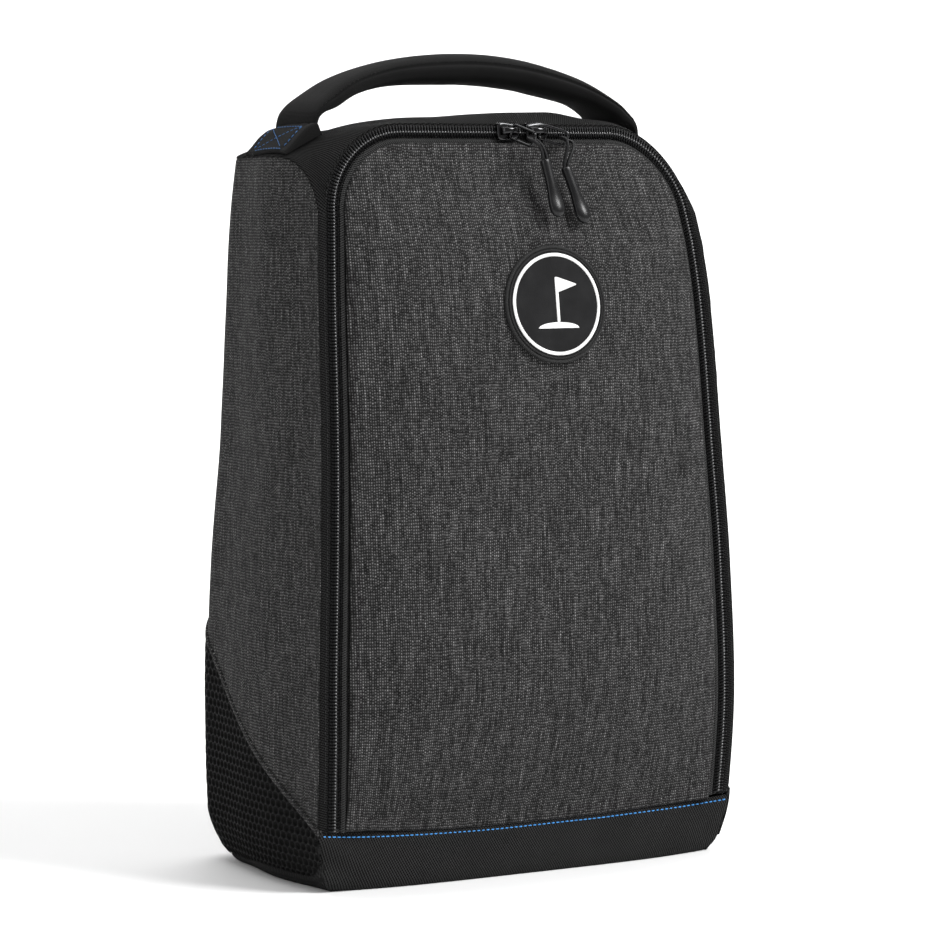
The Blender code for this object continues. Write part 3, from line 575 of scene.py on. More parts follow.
def station(name, z):
    """Half width, front or back of the outer surface at a height."""
    z = min(max(z, HEIGHTS[0]), HEIGHTS[-1])
    i = max(k for k in range(len(HEIGHTS) - 1) if HEIGHTS[k] <= z)
    step = HEIGHTS[i + 1] - HEIGHTS[i]
    t = (z - HEIGHTS[i]) / step
    low, high = COLUMNS[name][i], COLUMNS[name][i + 1]
    slope_low, slope_high = SLOPES[name][i] * step, SLOPES[name][i + 1] * step
    blend = t * t * (3.0 - 2.0 * t)
    return mix(low, high, blend) + slope_low * t * (1.0 - t) ** 2 - slope_high * t * t * (1.0 - t)


def side_length(z):
    straight = station("back", z) - REAR_RADIUS - station("front", z)
    return straight, straight + REAR_RADIUS * math.pi / 2.0


def side_point(side, z, along, depth=0.0):
    """Point on a side wall, `along` mm from the front seam and `depth` under the surface."""
    straight, _ = side_length(z)
    half = station("half", z)
    if along <= straight:
        swell = SIDE_BULGE * math.sin(math.pi * max(along, 0.0) / straight) ** 2
        x, y = half + swell - depth, station("front", z) + along
    else:
        turn = (along - straight) / REAR_RADIUS
        reach = REAR_RADIUS - depth
        x = half - REAR_RADIUS + reach * math.cos(turn)
        y = station("back", z) - REAR_RADIUS + reach * math.sin(turn)
    return Vector((leaned(side * x, z), y, z))


def leaned(x, z):
    """The right shoulder slopes in a little more than the left one."""
    return x - RIGHT_LEAN * smooth((z - 288.0) / 58.0) * smooth(x / 90.0)


def back_half_width(z):
    return station("half", z) - REAR_RADIUS


def back_top(across):
    return mix(SHOULDER, BACK_TOP, smooth((1.0 - abs(across)) * 3.0))


def back_point(z, across):
    swell = BACK_BULGE * (1.0 - across * across) ** 2
    return Vector((leaned(across * back_half_width(z), z), station("back", z) + swell, z))


def front_point(x, z, out=0.0):
    return Vector((leaned(x, z), station("front", z) - out, z))


def shoulder_height(along):
    back_off = min(SHOULDER_RADIUS, max(0.0, SHOULDER_RADIUS - along))
    return SHOULDER - SHOULDER_RADIUS + math.sqrt(SHOULDER_RADIUS ** 2 - back_off ** 2)


def mesh_edge(fraction):
    return mix(MESH_FRONT, MESH_REAR, fraction) - MESH_DIP * math.sin(math.pi * fraction)


# ---------------------------------------------------------------- side walls

SEAM = 0.25                 # half of the crease that a seam leaves between two sheets
SIDE_CLOTH = 400.0          # the side walls are cut this far along the cloth from the front


def side_surface(side, low, high, front=SEAM, rear=SEAM):
    """surface(t, s) of a side wall between two edges given from (fraction, length) along."""
    def surface(t, s):
        z, along = 0.0, 0.0
        for _ in range(4):
            _, full = side_length(z)
            along = mix(front, full - rear, s)
            z = mix(low(s, along), high(s, along), t)
        return side_point(side, z, along), (side * along + SIDE_CLOTH, z)
    return surface


def panel_low(s, along):
    return mesh_edge(s) + HEM * 0.5


def panel_high(s, along):
    return shoulder_height(along) - SEAM


PUCKER_REACH, PUCKER_SIZE, PUCKER_HEIGHT = 7.0, 6.0, 0.35


def puckers(distance, along, seed):
    """Small gathers beside a sewn edge, fading out away from it."""
    near = math.exp(-(distance / PUCKER_REACH) ** 2)
    return PUCKER_HEIGHT * near * wander(along, distance * 0.35, PUCKER_SIZE, seed)


def make_side_walls():
    for label, side in SIDES:
        surface = side_surface(side, panel_low, panel_high)
        rows = edge_spread(78, 260.0, 2.2)
        columns = edge_spread(44, 118.0, 2.2)
        points, flat = surface_grid(surface, rows, columns)
        relief = np.zeros((len(flat), len(flat[0])))
        for r, line in enumerate(flat):
            for c, (u, v) in enumerate(line):
                along = abs(u - SIDE_CLOTH)
                relief[r, c] = 0.9 * wander(u, v, 70.0, 2.0 + side) + 0.35 * wander(u, v, 26.0, 3.0 + side)
                relief[r, c] *= min(1.0, along / 25.0)
                relief[r, c] += puckers(along, v, seed=4.0)
        wall = cloth_sheet("side_wall_" + label, "bag", points, flat, 1.6, "heather",
                           relief=relief)
        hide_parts("side_panel_" + label)

        def hem_low(s, along):
            return mesh_edge(s) - 0.1

        def hem_high(s, along):
            return mesh_edge(s) + HEM
        points, flat = surface_grid(side_surface(side, hem_low, hem_high), edge_spread(4, HEM * 1.3, 1.0),
                                    edge_spread(70, 125.0, 1.0))
        hem = cloth_sheet("side_hem_cloth_" + label, "bag", points, flat, 1.2, "heather",
                          roll=1.1, sink=0.9, lift=1.0)
        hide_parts("side_hem_" + label)

        line = Stitches()
        path = []
        surface = side_surface(side, hem_low, hem_high)
        for s in spread(60, 0.01, 0.99):
            point, _ = surface(0.62, s)
            ahead, _ = surface(0.62, min(1.0, s + 0.01))
            normal = Vector((ahead - point)).cross(Vector((0.0, 0.0, 1.0))) * -side
            normal = normal.normalized()
            if normal.x * side < 0.0 and s < 0.8:
                normal = -normal
            path.append((point + normal * 0.78, normal))
        line.run(path, pitch=2.4, radius=0.22)
        line.make("side_hem_stitches_" + label, "bag", "thread", "tape")


# ---------------------------------------------------------------- mesh vents

CELL_WIDE = 4.4
CELL_ROWS = 3.5             # between one row of cells and the next, which is half a cell along
VENT_FOOT = 6.4
WELT_RADIUS = 1.9
# One cell of the knit, from its ridge to its hole: (share of the cell, depth under the wall).
CELL_RINGS = ((1.0, -0.55), (0.90, -0.50), (0.80, -0.10), (0.70, 0.55), (0.52, 0.95), (0.34, 1.15))
CELL_SIDES = 12


def vent_foot(along, side):
    """Lower edge of the knit: it rounds the left front corner and dips towards the back."""
    rounding = 8.0 if side < 0.0 else 1.0
    return VENT_FOOT + rounding * math.exp(-(along / 6.5) ** 2) - 3.6 * smooth((along - 62.0) / 40.0)


def cell_outline():
    """Corners and edge middles of a hexagonal cell, and the oval it closes in to."""
    tall = CELL_ROWS / 0.75
    hexagon = []
    for k in range(6):
        a, b = math.radians(60.0 * k + 30.0), math.radians(60.0 * k + 90.0)
        corner = (math.cos(a) * CELL_WIDE / math.sqrt(3.0), math.sin(a) * tall / 2.0)
        after = (math.cos(b) * CELL_WIDE / math.sqrt(3.0), math.sin(b) * tall / 2.0)
        hexagon += [corner, ((corner[0] + after[0]) / 2.0, (corner[1] + after[1]) / 2.0)]
    oval = [(math.cos(math.radians(30.0 * k + 30.0)) * CELL_WIDE / 2.0,
             math.sin(math.radians(30.0 * k + 30.0)) * tall / 2.15) for k in range(CELL_SIDES)]
    return hexagon, oval


def make_vents():
    """Honeycomb knit with real holes, over a dark backing, and the welt along its foot."""
    hexagon, oval = cell_outline()
    _, full = side_length(60.0)
    for label, side in SIDES:
        places, points, flat, faces = {}, [], [], []

        def vertex(along, z, depth):
            fraction = min(1.0, max(0.0, along / full))
            along_in = min(max(along, 0.3), full - 0.2)
            z_in = min(max(z, vent_foot(along_in, side)), mesh_edge(fraction) + 1.2)
            sag = 0.5 * wander(along_in, z_in, 22.0, 41.0 + side)
            key = (round(along_in * 50.0), round(z_in * 50.0), round(depth * 20.0))
            if key not in places:
                places[key] = len(points)
                _, real_full = side_length(z_in)
                points.append(tuple(side_point(side, z_in, along_in / full * real_full, depth + sag)))
                flat.append((along_in, z_in))
            return places[key]
        rows = int(MESH_REAR / CELL_ROWS) + 2
        columns = int(full / CELL_WIDE) + 2
        for j in range(rows):
            for i in range(columns):
                middle = ((i + 0.5 * (j % 2)) * CELL_WIDE, VENT_FOOT + j * CELL_ROWS)
                if middle[1] > mesh_edge(min(1.0, middle[0] / full)) + 1.5 or middle[0] > full + 1.0:
                    continue
                rings = []
                for share, depth in CELL_RINGS:
                    ring = []
                    for (hx, hz), (ox, oz) in zip(hexagon, oval):
                        blend = smooth((1.0 - share) * 6.0)
                        x, z = mix(hx, ox, blend) * share, mix(hz, oz, blend) * share
                        ring.append(vertex(middle[0] + x, middle[1] + z, depth))
                    rings.append(ring)
                for outer, inner in zip(rings, rings[1:]):
                    for k in range(CELL_SIDES):
                        after = (k + 1) % CELL_SIDES
                        face = (outer[k], outer[after], inner[after], inner[k])
                        if len(set(face)) == 4:
                            faces.append(face)
        net = make_piece("vent_mesh_" + label, "bag", points, faces, "mesh", flat, sharp=80.0)
        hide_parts("side_mesh_" + label)

        def foot(s, along):
            return 3.0

        def head(s, along):
            return mesh_edge(s) + 2.0
        points, flat = surface_grid(side_surface(side, foot, head, 3.5), spread(12), spread(40))
        cloth_sheet("vent_backing_" + label, "bag", points, flat, 2.4, "backing",
                    rolled=UNROLLED, lift=-1.7)
        make_welt(label, side)


def make_welt(label, side):
    """The rolled strip of twill that closes the wall's foot, widening into the front corner."""
    rings, flat = [], []
    _, full = side_length(4.0)
    for s in spread(90):
        along = mix(0.4, full - 0.3, s)
        tall = vent_foot(along, side) / 2.0 + 0.5
        inset = WELT_RADIUS - 0.5
        uneven = 1.0 + 0.05 * wander(along, 0.0, 14.0, 43.0)
        radius = WELT_RADIUS * mix(0.35, 1.0, smooth(along / 4.0)) * uneven
        rings.append([side_point(side, tall + b * (tall - 0.1), along, inset - a * radius)
                      for a, b in circle(18, 1.0)])
        flat += [(along, a * 0.9) for a in range(18)]
    points, faces = swept(rings)
    make_piece("vent_welt_" + label, "bag", points, faces, "band", flat, sharp=80.0)


# ---------------------------------------------------------------- back and base

def make_back():
    def outer(t, across):
        z = mix(BACK_TURN_UP - 0.5, back_top(across) - SEAM, t)
        return back_point(z, across), (across * back_half_width(z), z)
    points, flat = surface_grid(outer, edge_spread(60, 300.0, 2.2), both_ways(edge_spread(44, 200.0, 2.2)))
    relief = np.array([[0.8 * wander(u, v, 80.0, 9.0) * (1.0 - (u / 100.0) ** 2) for u, v in line]
                       for line in flat])
    wall = cloth_sheet("back_wall", "bag", points, flat, 1.8, "heather", relief=relief)
    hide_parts("back_panel")


def band_rise(across):
    return (BAND_RISE_LEFT if across < 0.0 else BAND_RISE_RIGHT) * abs(across) ** 2.5


def base_profile():
    points = [(station("front", z), z) for z in spread(12, BAND_TOP, 3.0)]
    points += [(-59.4, 1.1), (-58.0, 0.15)] + [(y, 0.0) for y in spread(18, -56.0, 31.0)]
    points += [(33.5, 0.2), (station("back", 1.0) - 1.0, 0.9)]
    up_the_back = (2.0, 3.5, 5.0, 7.5, 10.0, 14.0, 18.0, 22.0, 26.0, 30.0, BACK_TURN_UP + 0.5)
    points += [(station("back", z), z) for z in up_the_back]
    return points


def base_half_width(y, z):
    into_corner = min(REAR_RADIUS, max(0.0, y - station("back", z) + REAR_RADIUS))
    corner = REAR_RADIUS - math.sqrt(REAR_RADIUS ** 2 - into_corner ** 2)
    return station("half", z) - corner


def make_base():
    profile = base_profile()
    lengths = [0.0]
    for (y0, z0), (y1, z1) in zip(profile, profile[1:]):
        lengths.append(lengths[-1] + math.hypot(y1 - y0, z1 - z0))
    columns = both_ways(edge_spread(60, 210.0, 2.2))
    points, flat = [], []
    for (y, z), length in zip(profile, lengths):
        in_front = smooth(z / BAND_TOP) if y < 0.0 else 0.0
        line = []
        for u in columns:
            height = z + band_rise(u) * in_front
            depth = station("front", height) if in_front > 0.0 and z > 2.0 else y
            half = base_half_width(depth, height) - SEAM
            if y < 0.0:
                hang = BAND_HANG * (1.0 - u ** 4) * max(0.0, 1.0 - z / BAND_TOP) ** 1.5
                depth -= hang * smooth((-y - 10.0) / 45.0)
            line.append((u * half, depth, height))
        points.append(line)
        flat.append([(x, -length) for x, _, _ in line])
    relief = np.zeros((len(profile), len(columns)))
    for r, (y, z) in enumerate(profile):
        for c, u in enumerate(columns):
            if z > 0.5 and y < 0.0:
                corner = math.exp(-((1.0 - abs(u)) * 110.0 / 22.0) ** 2)
                fold = math.sin((z * 1.3 + (1.0 - abs(u)) * 70.0) / 3.6)
                crease = (1.0 if u < 0.0 else 0.4) * corner * fold
                relief[r, c] = 0.5 * wander(u * 105.0, z, 26.0, 5.0) + crease
                relief[r, c] *= smooth((BAND_TOP - z) / 4.0) * smooth(z / 5.0)
    shell = cloth_sheet("base_cloth", "bag", points, flat, 1.8, "band",
                        relief=relief, roll=1.6, sink=0.9)
    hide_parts("base_panel")

    path = []
    for u in spread(80, -0.985, 0.985):
        z = BAND_TOP + band_rise(u) - 2.0 + 0.25 * wander(u * 105.0, 0.0, 30.0, 6.0)
        half = base_half_width(station("front", z), z)
        path.append((front_point(u * half, z, 0.12), Vector((0.0, -1.0, 0.12)).normalized()))
    line = Stitches()
    line.run(path, pitch=2.55, share=0.76, radius=0.33)
    line.make("band_stitches", "bag", "blue", "twill")


# ---------------------------------------------------------------- zip

def zip_half_width(z):
    return station("half", z) - ZIP_INSET


# Points along one half of the chain: up its side, round its corner and along the top.
UPRIGHT_POINTS, CORNER_POINTS, TOP_POINTS = 60, 28, 50


def zip_path():
    """Chain centre line: (x, z, outward x, outward z), from the left foot to the right foot."""
    corner_x = zip_half_width(ZIP_CORNER) - ZIP_RADIUS
    half = []
    for z in spread(UPRIGHT_POINTS, ZIP_FOOT, ZIP_CORNER)[:-1]:
        half.append((-zip_half_width(z), z, -1.0, 0.0))
    for angle in spread(CORNER_POINTS, 0.0, math.pi / 2.0):
        out = (-math.cos(angle), math.sin(angle))
        half.append((-corner_x + ZIP_RADIUS * out[0], ZIP_CORNER + ZIP_RADIUS * out[1], *out))
    for x in spread(TOP_POINTS, -corner_x, 0.0)[1:]:
        half.append((x, ZIP_TOP, 0.0, 1.0))
    mirrored = [(-x, z, -ox, oz) for x, z, ox, oz in reversed(half[:-1])]
    return half + mirrored


def chain_lengths(path):
    lengths = [0.0]
    for (x0, z0, *_), (x1, z1, *_) in zip(path, path[1:]):
        y0, y1 = station("front", z0), station("front", z1)
        lengths.append(lengths[-1] + math.sqrt((x1 - x0) ** 2 + (y1 - y0) ** 2 + (z1 - z0) ** 2))
    return lengths


def chain_strip(name, body, low, high, out, thick, material, across_count=5, bow=0.0):
    """A strip along the chain, from low to high across it, its face `out` in front of the surface."""
    path = zip_path()
    lengths = chain_lengths(path)
    points, flat = [], []
    for (x, z, ox, oz), length in zip(path, lengths):
        line, places = [], []
        for t in spread(across_count):
            across = mix(low, high, t)
            rise = out + bow * math.sin(math.pi * t)
            line.append(tuple(front_point(x + ox * across, z + oz * across, rise)))
            places.append((across, length))
        points.append(line)
        flat.append(places)
    return cloth_sheet(name, body, points, flat, thick, material, rolled=UNROLLED)


def make_zip():
    fixed = chain_strip("zip_tape_outer", "bag", 0.5, 4.0, 0.3, 0.6, "twill")
    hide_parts("zip_tape_fixed")
    moving = chain_strip("zip_tape_inner", "flap", -9.0, -0.5, 0.3, 0.6, "tape", 7)
    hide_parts("zip_tape_flap")
    chain_strip("zip_piping", "flap", -6.2, -3.3, 1.0, 1.3, "tape", 6, bow=0.8)
    for name, body, side, shift, coil in (("zip_teeth_outer", "bag", 1.0, 0.0, "zip_coil_fixed"),
                                          ("zip_teeth_inner", "flap", -1.0, 0.5, "zip_coil_flap")):
        teeth = make_teeth(name, body, side, shift)
        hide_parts(coil)


# One turn of the coil, from the chain's centre line out: (reach, height, half width).
COIL_TURN = ((-0.35, 0.60, 0.46), (0.2, 0.92, 0.50), (0.75, 0.70, 0.52), (1.7, 0.50, 0.56),
             (COIL_HALF, 0.26, 0.50))
# The head where two turns meet, in a paler grey that paints its highlight: (reach, radius).
COIL_HEAD = ((-0.50, 0.12), (-0.36, 0.40), (-0.05, 0.56), (0.30, 0.50), (0.52, 0.30), (0.60, 0.08))
COIL_SIDES = 8


def make_teeth(name, body, side, shift):
    """One half of the chain: a nylon coil, one looped tooth for each turn, and its stitching.

    The heads are a piece of their own, made with the outer half, in a paler grey as a painted highlight.
    """
    path = zip_path()
    lengths = chain_lengths(path)
    count = int(lengths[-1] / COIL_PITCH) - 1
    points, faces, flat = [], [], []
    i = 0
    bead_points, bead_faces = [], []
    stitch = Stitches()
    previous = None
    for k in range(count):
        distance = (k + 0.75 + shift) * COIL_PITCH
        while lengths[i + 1] < distance:
            i += 1
        t = (distance - lengths[i]) / (lengths[i + 1] - lengths[i])
        x0, z0, ox0, oz0 = path[i]
        x1, z1, ox1, oz1 = path[i + 1]
        x, z = mix(x0, x1, t), mix(z0, z1, t)
        out = Vector((mix(ox0, ox1, t), 0.0, mix(oz0, oz1, t))).normalized()
        middle = front_point(x, z, 0.35)
        ahead = front_point(x1, z1, 0.35) - front_point(x0, z0, 0.35)
        along = ahead.normalized()
        front = along.cross(out)
        if front.y > 0.0:
            front = -front
        across = front.cross(along)
        if across.dot(out) < 0.0:
            across = -across
        first = len(points)
        for reach, high, wide in COIL_TURN:
            centre = middle + across * side * reach + along * (0.16 * reach - 0.2) + front * high
            for a, b in circle(COIL_SIDES, 1.0, TAU / 16.0):
                points.append(tuple(centre + along * a * wide + front * b * min(high, 0.62)))
                flat.append((a, b))
        for ring in range(len(COIL_TURN) - 1):
            start = first + ring * COIL_SIDES
            for j in range(COIL_SIDES):
                a, b = start + j, start + (j + 1) % COIL_SIDES
                faces.append((a, b, b + COIL_SIDES, a + COIL_SIDES))
        faces.append(tuple(first + j for j in range(COIL_SIDES)))
        last = first + (len(COIL_TURN) - 1) * COIL_SIDES
        faces.append(tuple(last + j for j in reversed(range(COIL_SIDES))))
        # each head is a bead in the pale grey that paints its highlight
        if side > 0.0:
            rings = [[middle + across * reach + front * (1.0 + b * size) + along * a * size
                      for a, b in circle(COIL_SIDES, 1.0)] for reach, size in COIL_HEAD]
            ring_points, ring_faces = swept(rings)
            bead_faces += [tuple(len(bead_points) + n for n in one) for one in ring_faces]
            bead_points += ring_points
        seam_point = middle + across * side * 1.75 + front * 1.1
        if previous is not None:
            start, end = previous.lerp(seam_point, 0.1), previous.lerp(seam_point, 0.9)
            stitch.thread(start, end, front, 0.26, 5)
        previous = seam_point
    made = make_piece(name, body, points, faces, "coil", flat, sharp=70.0)
    if bead_points:
        make_piece("zip_heads_painted_highlight", body, bead_points, bead_faces, "heads", sharp=70.0)
    stitch.make(name + "_stitching", body, "backing", "tape")
    return made


# ---------------------------------------------------------------- black strips and top

STRIP_START = COIL_HALF + 0.45


def resample(points, fractions):
    """Points at the given fractions of a line's length."""
    lengths = running_lengths(points)
    result = []
    for fraction in fractions:
        goal = fraction * lengths[-1]
        i = max(k for k in range(len(points) - 1) if lengths[k] <= goal)
        t = (goal - lengths[i]) / (lengths[i + 1] - lengths[i])
        result.append(points[i].lerp(points[i + 1], t))
    return result


def fractions_of_turn():
    """How far round the corner and along the top each point of zip_path lies, from 0 to 1."""
    arc = ZIP_RADIUS * math.pi / 2.0
    run = zip_half_width(ZIP_CORNER) - ZIP_RADIUS
    marks = spread(CORNER_POINTS, 0.0, arc) + spread(TOP_POINTS, arc, arc + run)[1:]
    return [mark / (arc + run) for mark in marks]


def front_corner(z):
    return Vector((-station("half", z), station("front", z), z))


def seam_path():
    """Outer edge of the left half of the black strip and top, matched to zip_path."""
    edge = [front_corner(z) for z in spread(UPRIGHT_POINTS, ZIP_FOOT, ZIP_CORNER)[:-1]]
    trail = [front_corner(ZIP_CORNER)]
    _, full = side_length(SHOULDER)
    for along in spread(80, 0.5, full):
        trail.append(side_point(-1.0, shoulder_height(along), along))
    for across in spread(40, -1.0, 0.0):
        point = back_point(BACK_TOP, across)
        point.z = mix(SHOULDER, BACK_TOP, smooth((across + 1.0) * 3.0))
        trail.append(point)
    return edge + resample(trail, fractions_of_turn())


def dome_rise(turn, across, x):
    """How far the top swells above the line from chain to back edge, more to the right."""
    height = 12.5 * smooth(turn / 0.75) * min(0.9, max(0.4, 0.66 + x / 300.0))
    return height * (1.0 - abs(2.0 * across - 1.0) ** 2.6)


def top_rows():
    """Points of the black strips and top, row by row along the chain."""
    chain = zip_path()
    half = len(chain) // 2 + 1
    turns = [0.0] * (UPRIGHT_POINTS - 1) + fractions_of_turn()
    shares = edge_spread(18, 60.0, 5.0)
    rows, mirrored = [], []
    for (x, z, ox, oz), edge, turn in zip(chain[:half], seam_path(), turns):
        inner = front_point(x + ox * STRIP_START, z + oz * STRIP_START, 0.9)
        row, opposite = [], []
        for across in shares:
            x, y, z = inner.lerp(edge, across)
            row.append(Vector((x, y, z + dome_rise(turn, across, x))))
            opposite.append(Vector((leaned(-x, z), y, z + dome_rise(turn, across, -x))))
        rows.append(row)
        mirrored.append(opposite)
    return rows + mirrored[-2::-1]


def make_top():
    rows = top_rows()
    lengths = chain_lengths(zip_path())
    points, flat = [], []
    for row, length in zip(rows, lengths):
        points.append([tuple(p) for p in row])
        flat.append([(length, reach) for reach in running_lengths(row)])
    relief = np.zeros((len(rows), len(rows[0])))
    for r, row in enumerate(rows):
        for c, p in enumerate(row):
            if p.z > ZIP_CORNER:
                edge = min(c, len(row) - 1 - c) / (len(row) / 2.0)
                relief[r, c] = 1.1 * edge * wander(p.x, p.y, 30.0, 8.0)
    top = cloth_sheet("top_cloth", "bag", points, flat, 1.6, "twill",
                      roll=1.6, sink=0.9, relief=relief)
    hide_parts("gusset")

    for label, start, stop in (("left", 3, 56), ("right", len(rows) - 57, len(rows) - 3)):
        path = []
        for r in range(start, stop):
            row = rows[r]
            along = (rows[r + 1][2] - rows[r - 1][2]).normalized()
            across = (row[3] - row[1]).normalized()
            normal = along.cross(across).normalized()
            if normal.y > 0.0:
                normal = -normal
            share = 1.6 / max((row[-1] - row[0]).length, 4.0)
            path.append((row[0].lerp(row[-1], share) + normal * 0.1, normal))
        line = Stitches()
        line.run(path, pitch=2.4, radius=0.2)
        line.make("strip_stitches_" + label, "bag", "thread", "twill")
    return rows


# ---------------------------------------------------------------- opening panel

def panel_half_width(z):
    inset = mix(PANEL_EDGE_FOOT, PANEL_EDGE, smooth(z / ZIP_CORNER))
    if z <= ZIP_CORNER:
        return zip_half_width(z) - inset
    radius = ZIP_RADIUS - inset
    lift = min(z - ZIP_CORNER, radius)
    return zip_half_width(ZIP_CORNER) - ZIP_RADIUS + math.sqrt(max(radius * radius - lift * lift, 0.0))


def panel_swell(across, z):
    """How far the opening panel stands in front of the zip's surface."""
    rise = smooth((z - BAND_TOP) / 75.0)
    fall = smooth((ZIP_TOP - PANEL_EDGE - z) / 60.0)
    edge = 1.0 - abs(across) ** 3.5
    tucked = (1.0 - abs(across) ** 8) * (1.0 - smooth((z - BAND_TOP) / 22.0))
    return 1.2 + PANEL_BULGE * edge * rise * (0.10 + 0.90 * fall) - 3.0 * tucked


def panel_point(z, across):
    return front_point(across * panel_half_width(z), z, panel_swell(across, z) + PANEL_THICK)


def panel_on(x, z):
    return panel_point(z, x / panel_half_width(z))


def panel_heights(count, inset=0.0):
    """Heights of the panel's rows, close together in its rolled foot and round its corners."""
    radius = ZIP_RADIUS - PANEL_EDGE - inset
    low = BAND_TOP - 0.5
    near = [low + 2.2 * (1.0 - math.cos(a)) for a in spread(5, 0.0, math.pi / 2.0)]
    rows = near[:-1] + spread(count, near[-1], ZIP_CORNER)
    for angle in spread(26, 0.0, math.radians(87.5))[1:]:
        rows.append(ZIP_CORNER + radius * math.sin(angle))
    return rows


def make_panel():
    heights = panel_heights(86)
    columns = both_ways(edge_spread(70, 196.0, 2.2))
    points, flat = [], []
    for z in heights:
        above = 1.0 - smooth((z - BAND_TOP) / 45.0)
        points.append([tuple(panel_point(z + band_rise(u) * above, u)) for u in columns])
        flat.append([(u * panel_half_width(z), z) for u in columns])
    relief = np.zeros((len(heights), len(columns)))
    for r, z in enumerate(heights):
        for c, u in enumerate(columns):
            x = u * panel_half_width(z)
            border = min((1.0 - abs(u)) * 98.0, z - BAND_TOP, max(ZIP_TOP - PANEL_EDGE - z, 0.0))
            waves = 0.8 * wander(x, z, 75.0, 11.0) + 0.3 * wander(x, z, 24.0, 12.0)
            relief[r, c] = waves * smooth(border / 20.0) + puckers(border, x + z, seed=13.0)
    panel = cloth_sheet("front_panel", "flap", points, flat, PANEL_THICK - 0.4, "heather",
                        relief=relief, roll=2.0, sink=1.3)
    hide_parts("flap_panel")
    make_panel_inside()


def make_panel_inside():
    """Padding and lining behind the opening panel, seen when it is down."""
    columns = both_ways(edge_spread(34, 190.0, 5.0))
    points, flat = [], []
    for z in panel_heights(40, 3.0)[4:]:
        half = panel_half_width(z)
        points.append([tuple(front_point(u * (half - 2.0), z, panel_swell(u * 0.97, z) * 0.9 - 3.5))
                       for u in columns])
        flat.append([(u * half, z) for u in columns])
    inside = cloth_sheet("panel_lining", "flap", points, flat, 2.2, "lining", rolled=UNROLLED)
    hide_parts("flap_foam", "flap_lining")


# ---------------------------------------------------------------- round patch

BADGE_RADIUS = 27.4
BADGE_FACE = 2.0            # how far the patch's cloth stands in front of the panel
RING_RADIUS = 22.9
RING_WIDTH = 1.6
# The sewn border's two ridges, from the rim inwards: (inset, height).
PATCH_BORDER = ((0.5, -0.6), (0.0, 0.6), (0.2, 1.5), (0.7, 2.05), (1.2, 2.0), (1.55, 1.3),
                (1.85, 1.25), (2.15, 1.95), (2.6, 2.1), (2.9, 1.7), (3.0, 0.2))


def badge_frame():
    """The patch's middle, and the turn that lays local -Y square out of the panel."""
    centre = panel_on(BADGE_X, BADGE_Z)
    right = (panel_on(BADGE_X + 20.0, BADGE_Z) - panel_on(BADGE_X - 20.0, BADGE_Z)).normalized()
    up = (panel_on(BADGE_X, BADGE_Z + 20.0) - panel_on(BADGE_X, BADGE_Z - 20.0)).normalized()
    inward = right.cross(up).normalized()
    if inward.y < 0.0:
        inward = -inward
    up = inward.cross(right)
    if up.z < 0.0:
        up = -up
    return centre, Matrix((right, inward, up)).transposed()


def turned_profile(profile, count, place, ripple=None):
    """Points and faces of a disc turned from (radius, height) pairs; the last is its middle."""
    rings = []
    for k, (radius, height) in enumerate(profile):
        ring = []
        for i in range(count):
            angle = TAU * i / count
            lift = ripple(k, angle) if ripple else 0.0
            ring.append(place(radius * math.cos(angle), radius * math.sin(angle), height + lift))
        rings.append(ring)
    return swept(rings)


def make_badge():
    centre, turn = badge_frame()

    def place(a, b, out):
        # the patch bends a little with the panel it is sewn to
        bend = (a * a) / 900.0 + (b * b) / 2600.0
        return centre + turn @ Vector((a, bend - out, b))
    face = BADGE_FACE

    def thread_ripple(k, angle):
        return 0.10 * math.sin(angle * 150.0) if 1 < k < 5 else 0.0
    border = [(BADGE_RADIUS - inset, height) for inset, height in PATCH_BORDER]
    points, faces = turned_profile(border, 600, place, thread_ripple)
    rim = make_piece("patch_border", "flap", points, faces, "thread",
                     [(p[0] + p[1], p[2]) for p in points], sharp=70.0)

    field = [(BADGE_RADIUS - 2.7, 0.1), (BADGE_RADIUS - 2.8, 1.6), (BADGE_RADIUS - 3.2, face - 0.15),
             (BADGE_RADIUS - 3.6, face - 0.05), (RING_RADIUS, face), (14.0, face + 0.1),
             (4.0, face + 0.12), (0.4, face + 0.12)]
    points, faces = turned_profile(field, 96, place)
    disc = make_piece("patch_field", "flap", points, faces, "badge", sharp=50.0)
    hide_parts("badge_base")

    near, far = RING_RADIUS - RING_WIDTH / 2.0, RING_RADIUS + RING_WIDTH / 2.0
    rings = []
    for i in range(128):
        angle = TAU * i / 128
        ring = []
        for a, b in circle(10, 1.0):
            radius = (near + far) / 2.0 + a * RING_WIDTH / 2.0
            ring.append(place(radius * math.cos(angle), radius * math.sin(angle), face + 0.1 + b * 0.42))
        rings.append(ring)
    points, faces = swept(rings, closed=True)
    ring = make_piece("patch_ring", "flap", points, faces, "print")
    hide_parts("badge_ring")
    emblem = make_emblem(place, face)
    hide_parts("badge_emblem")
    return rim


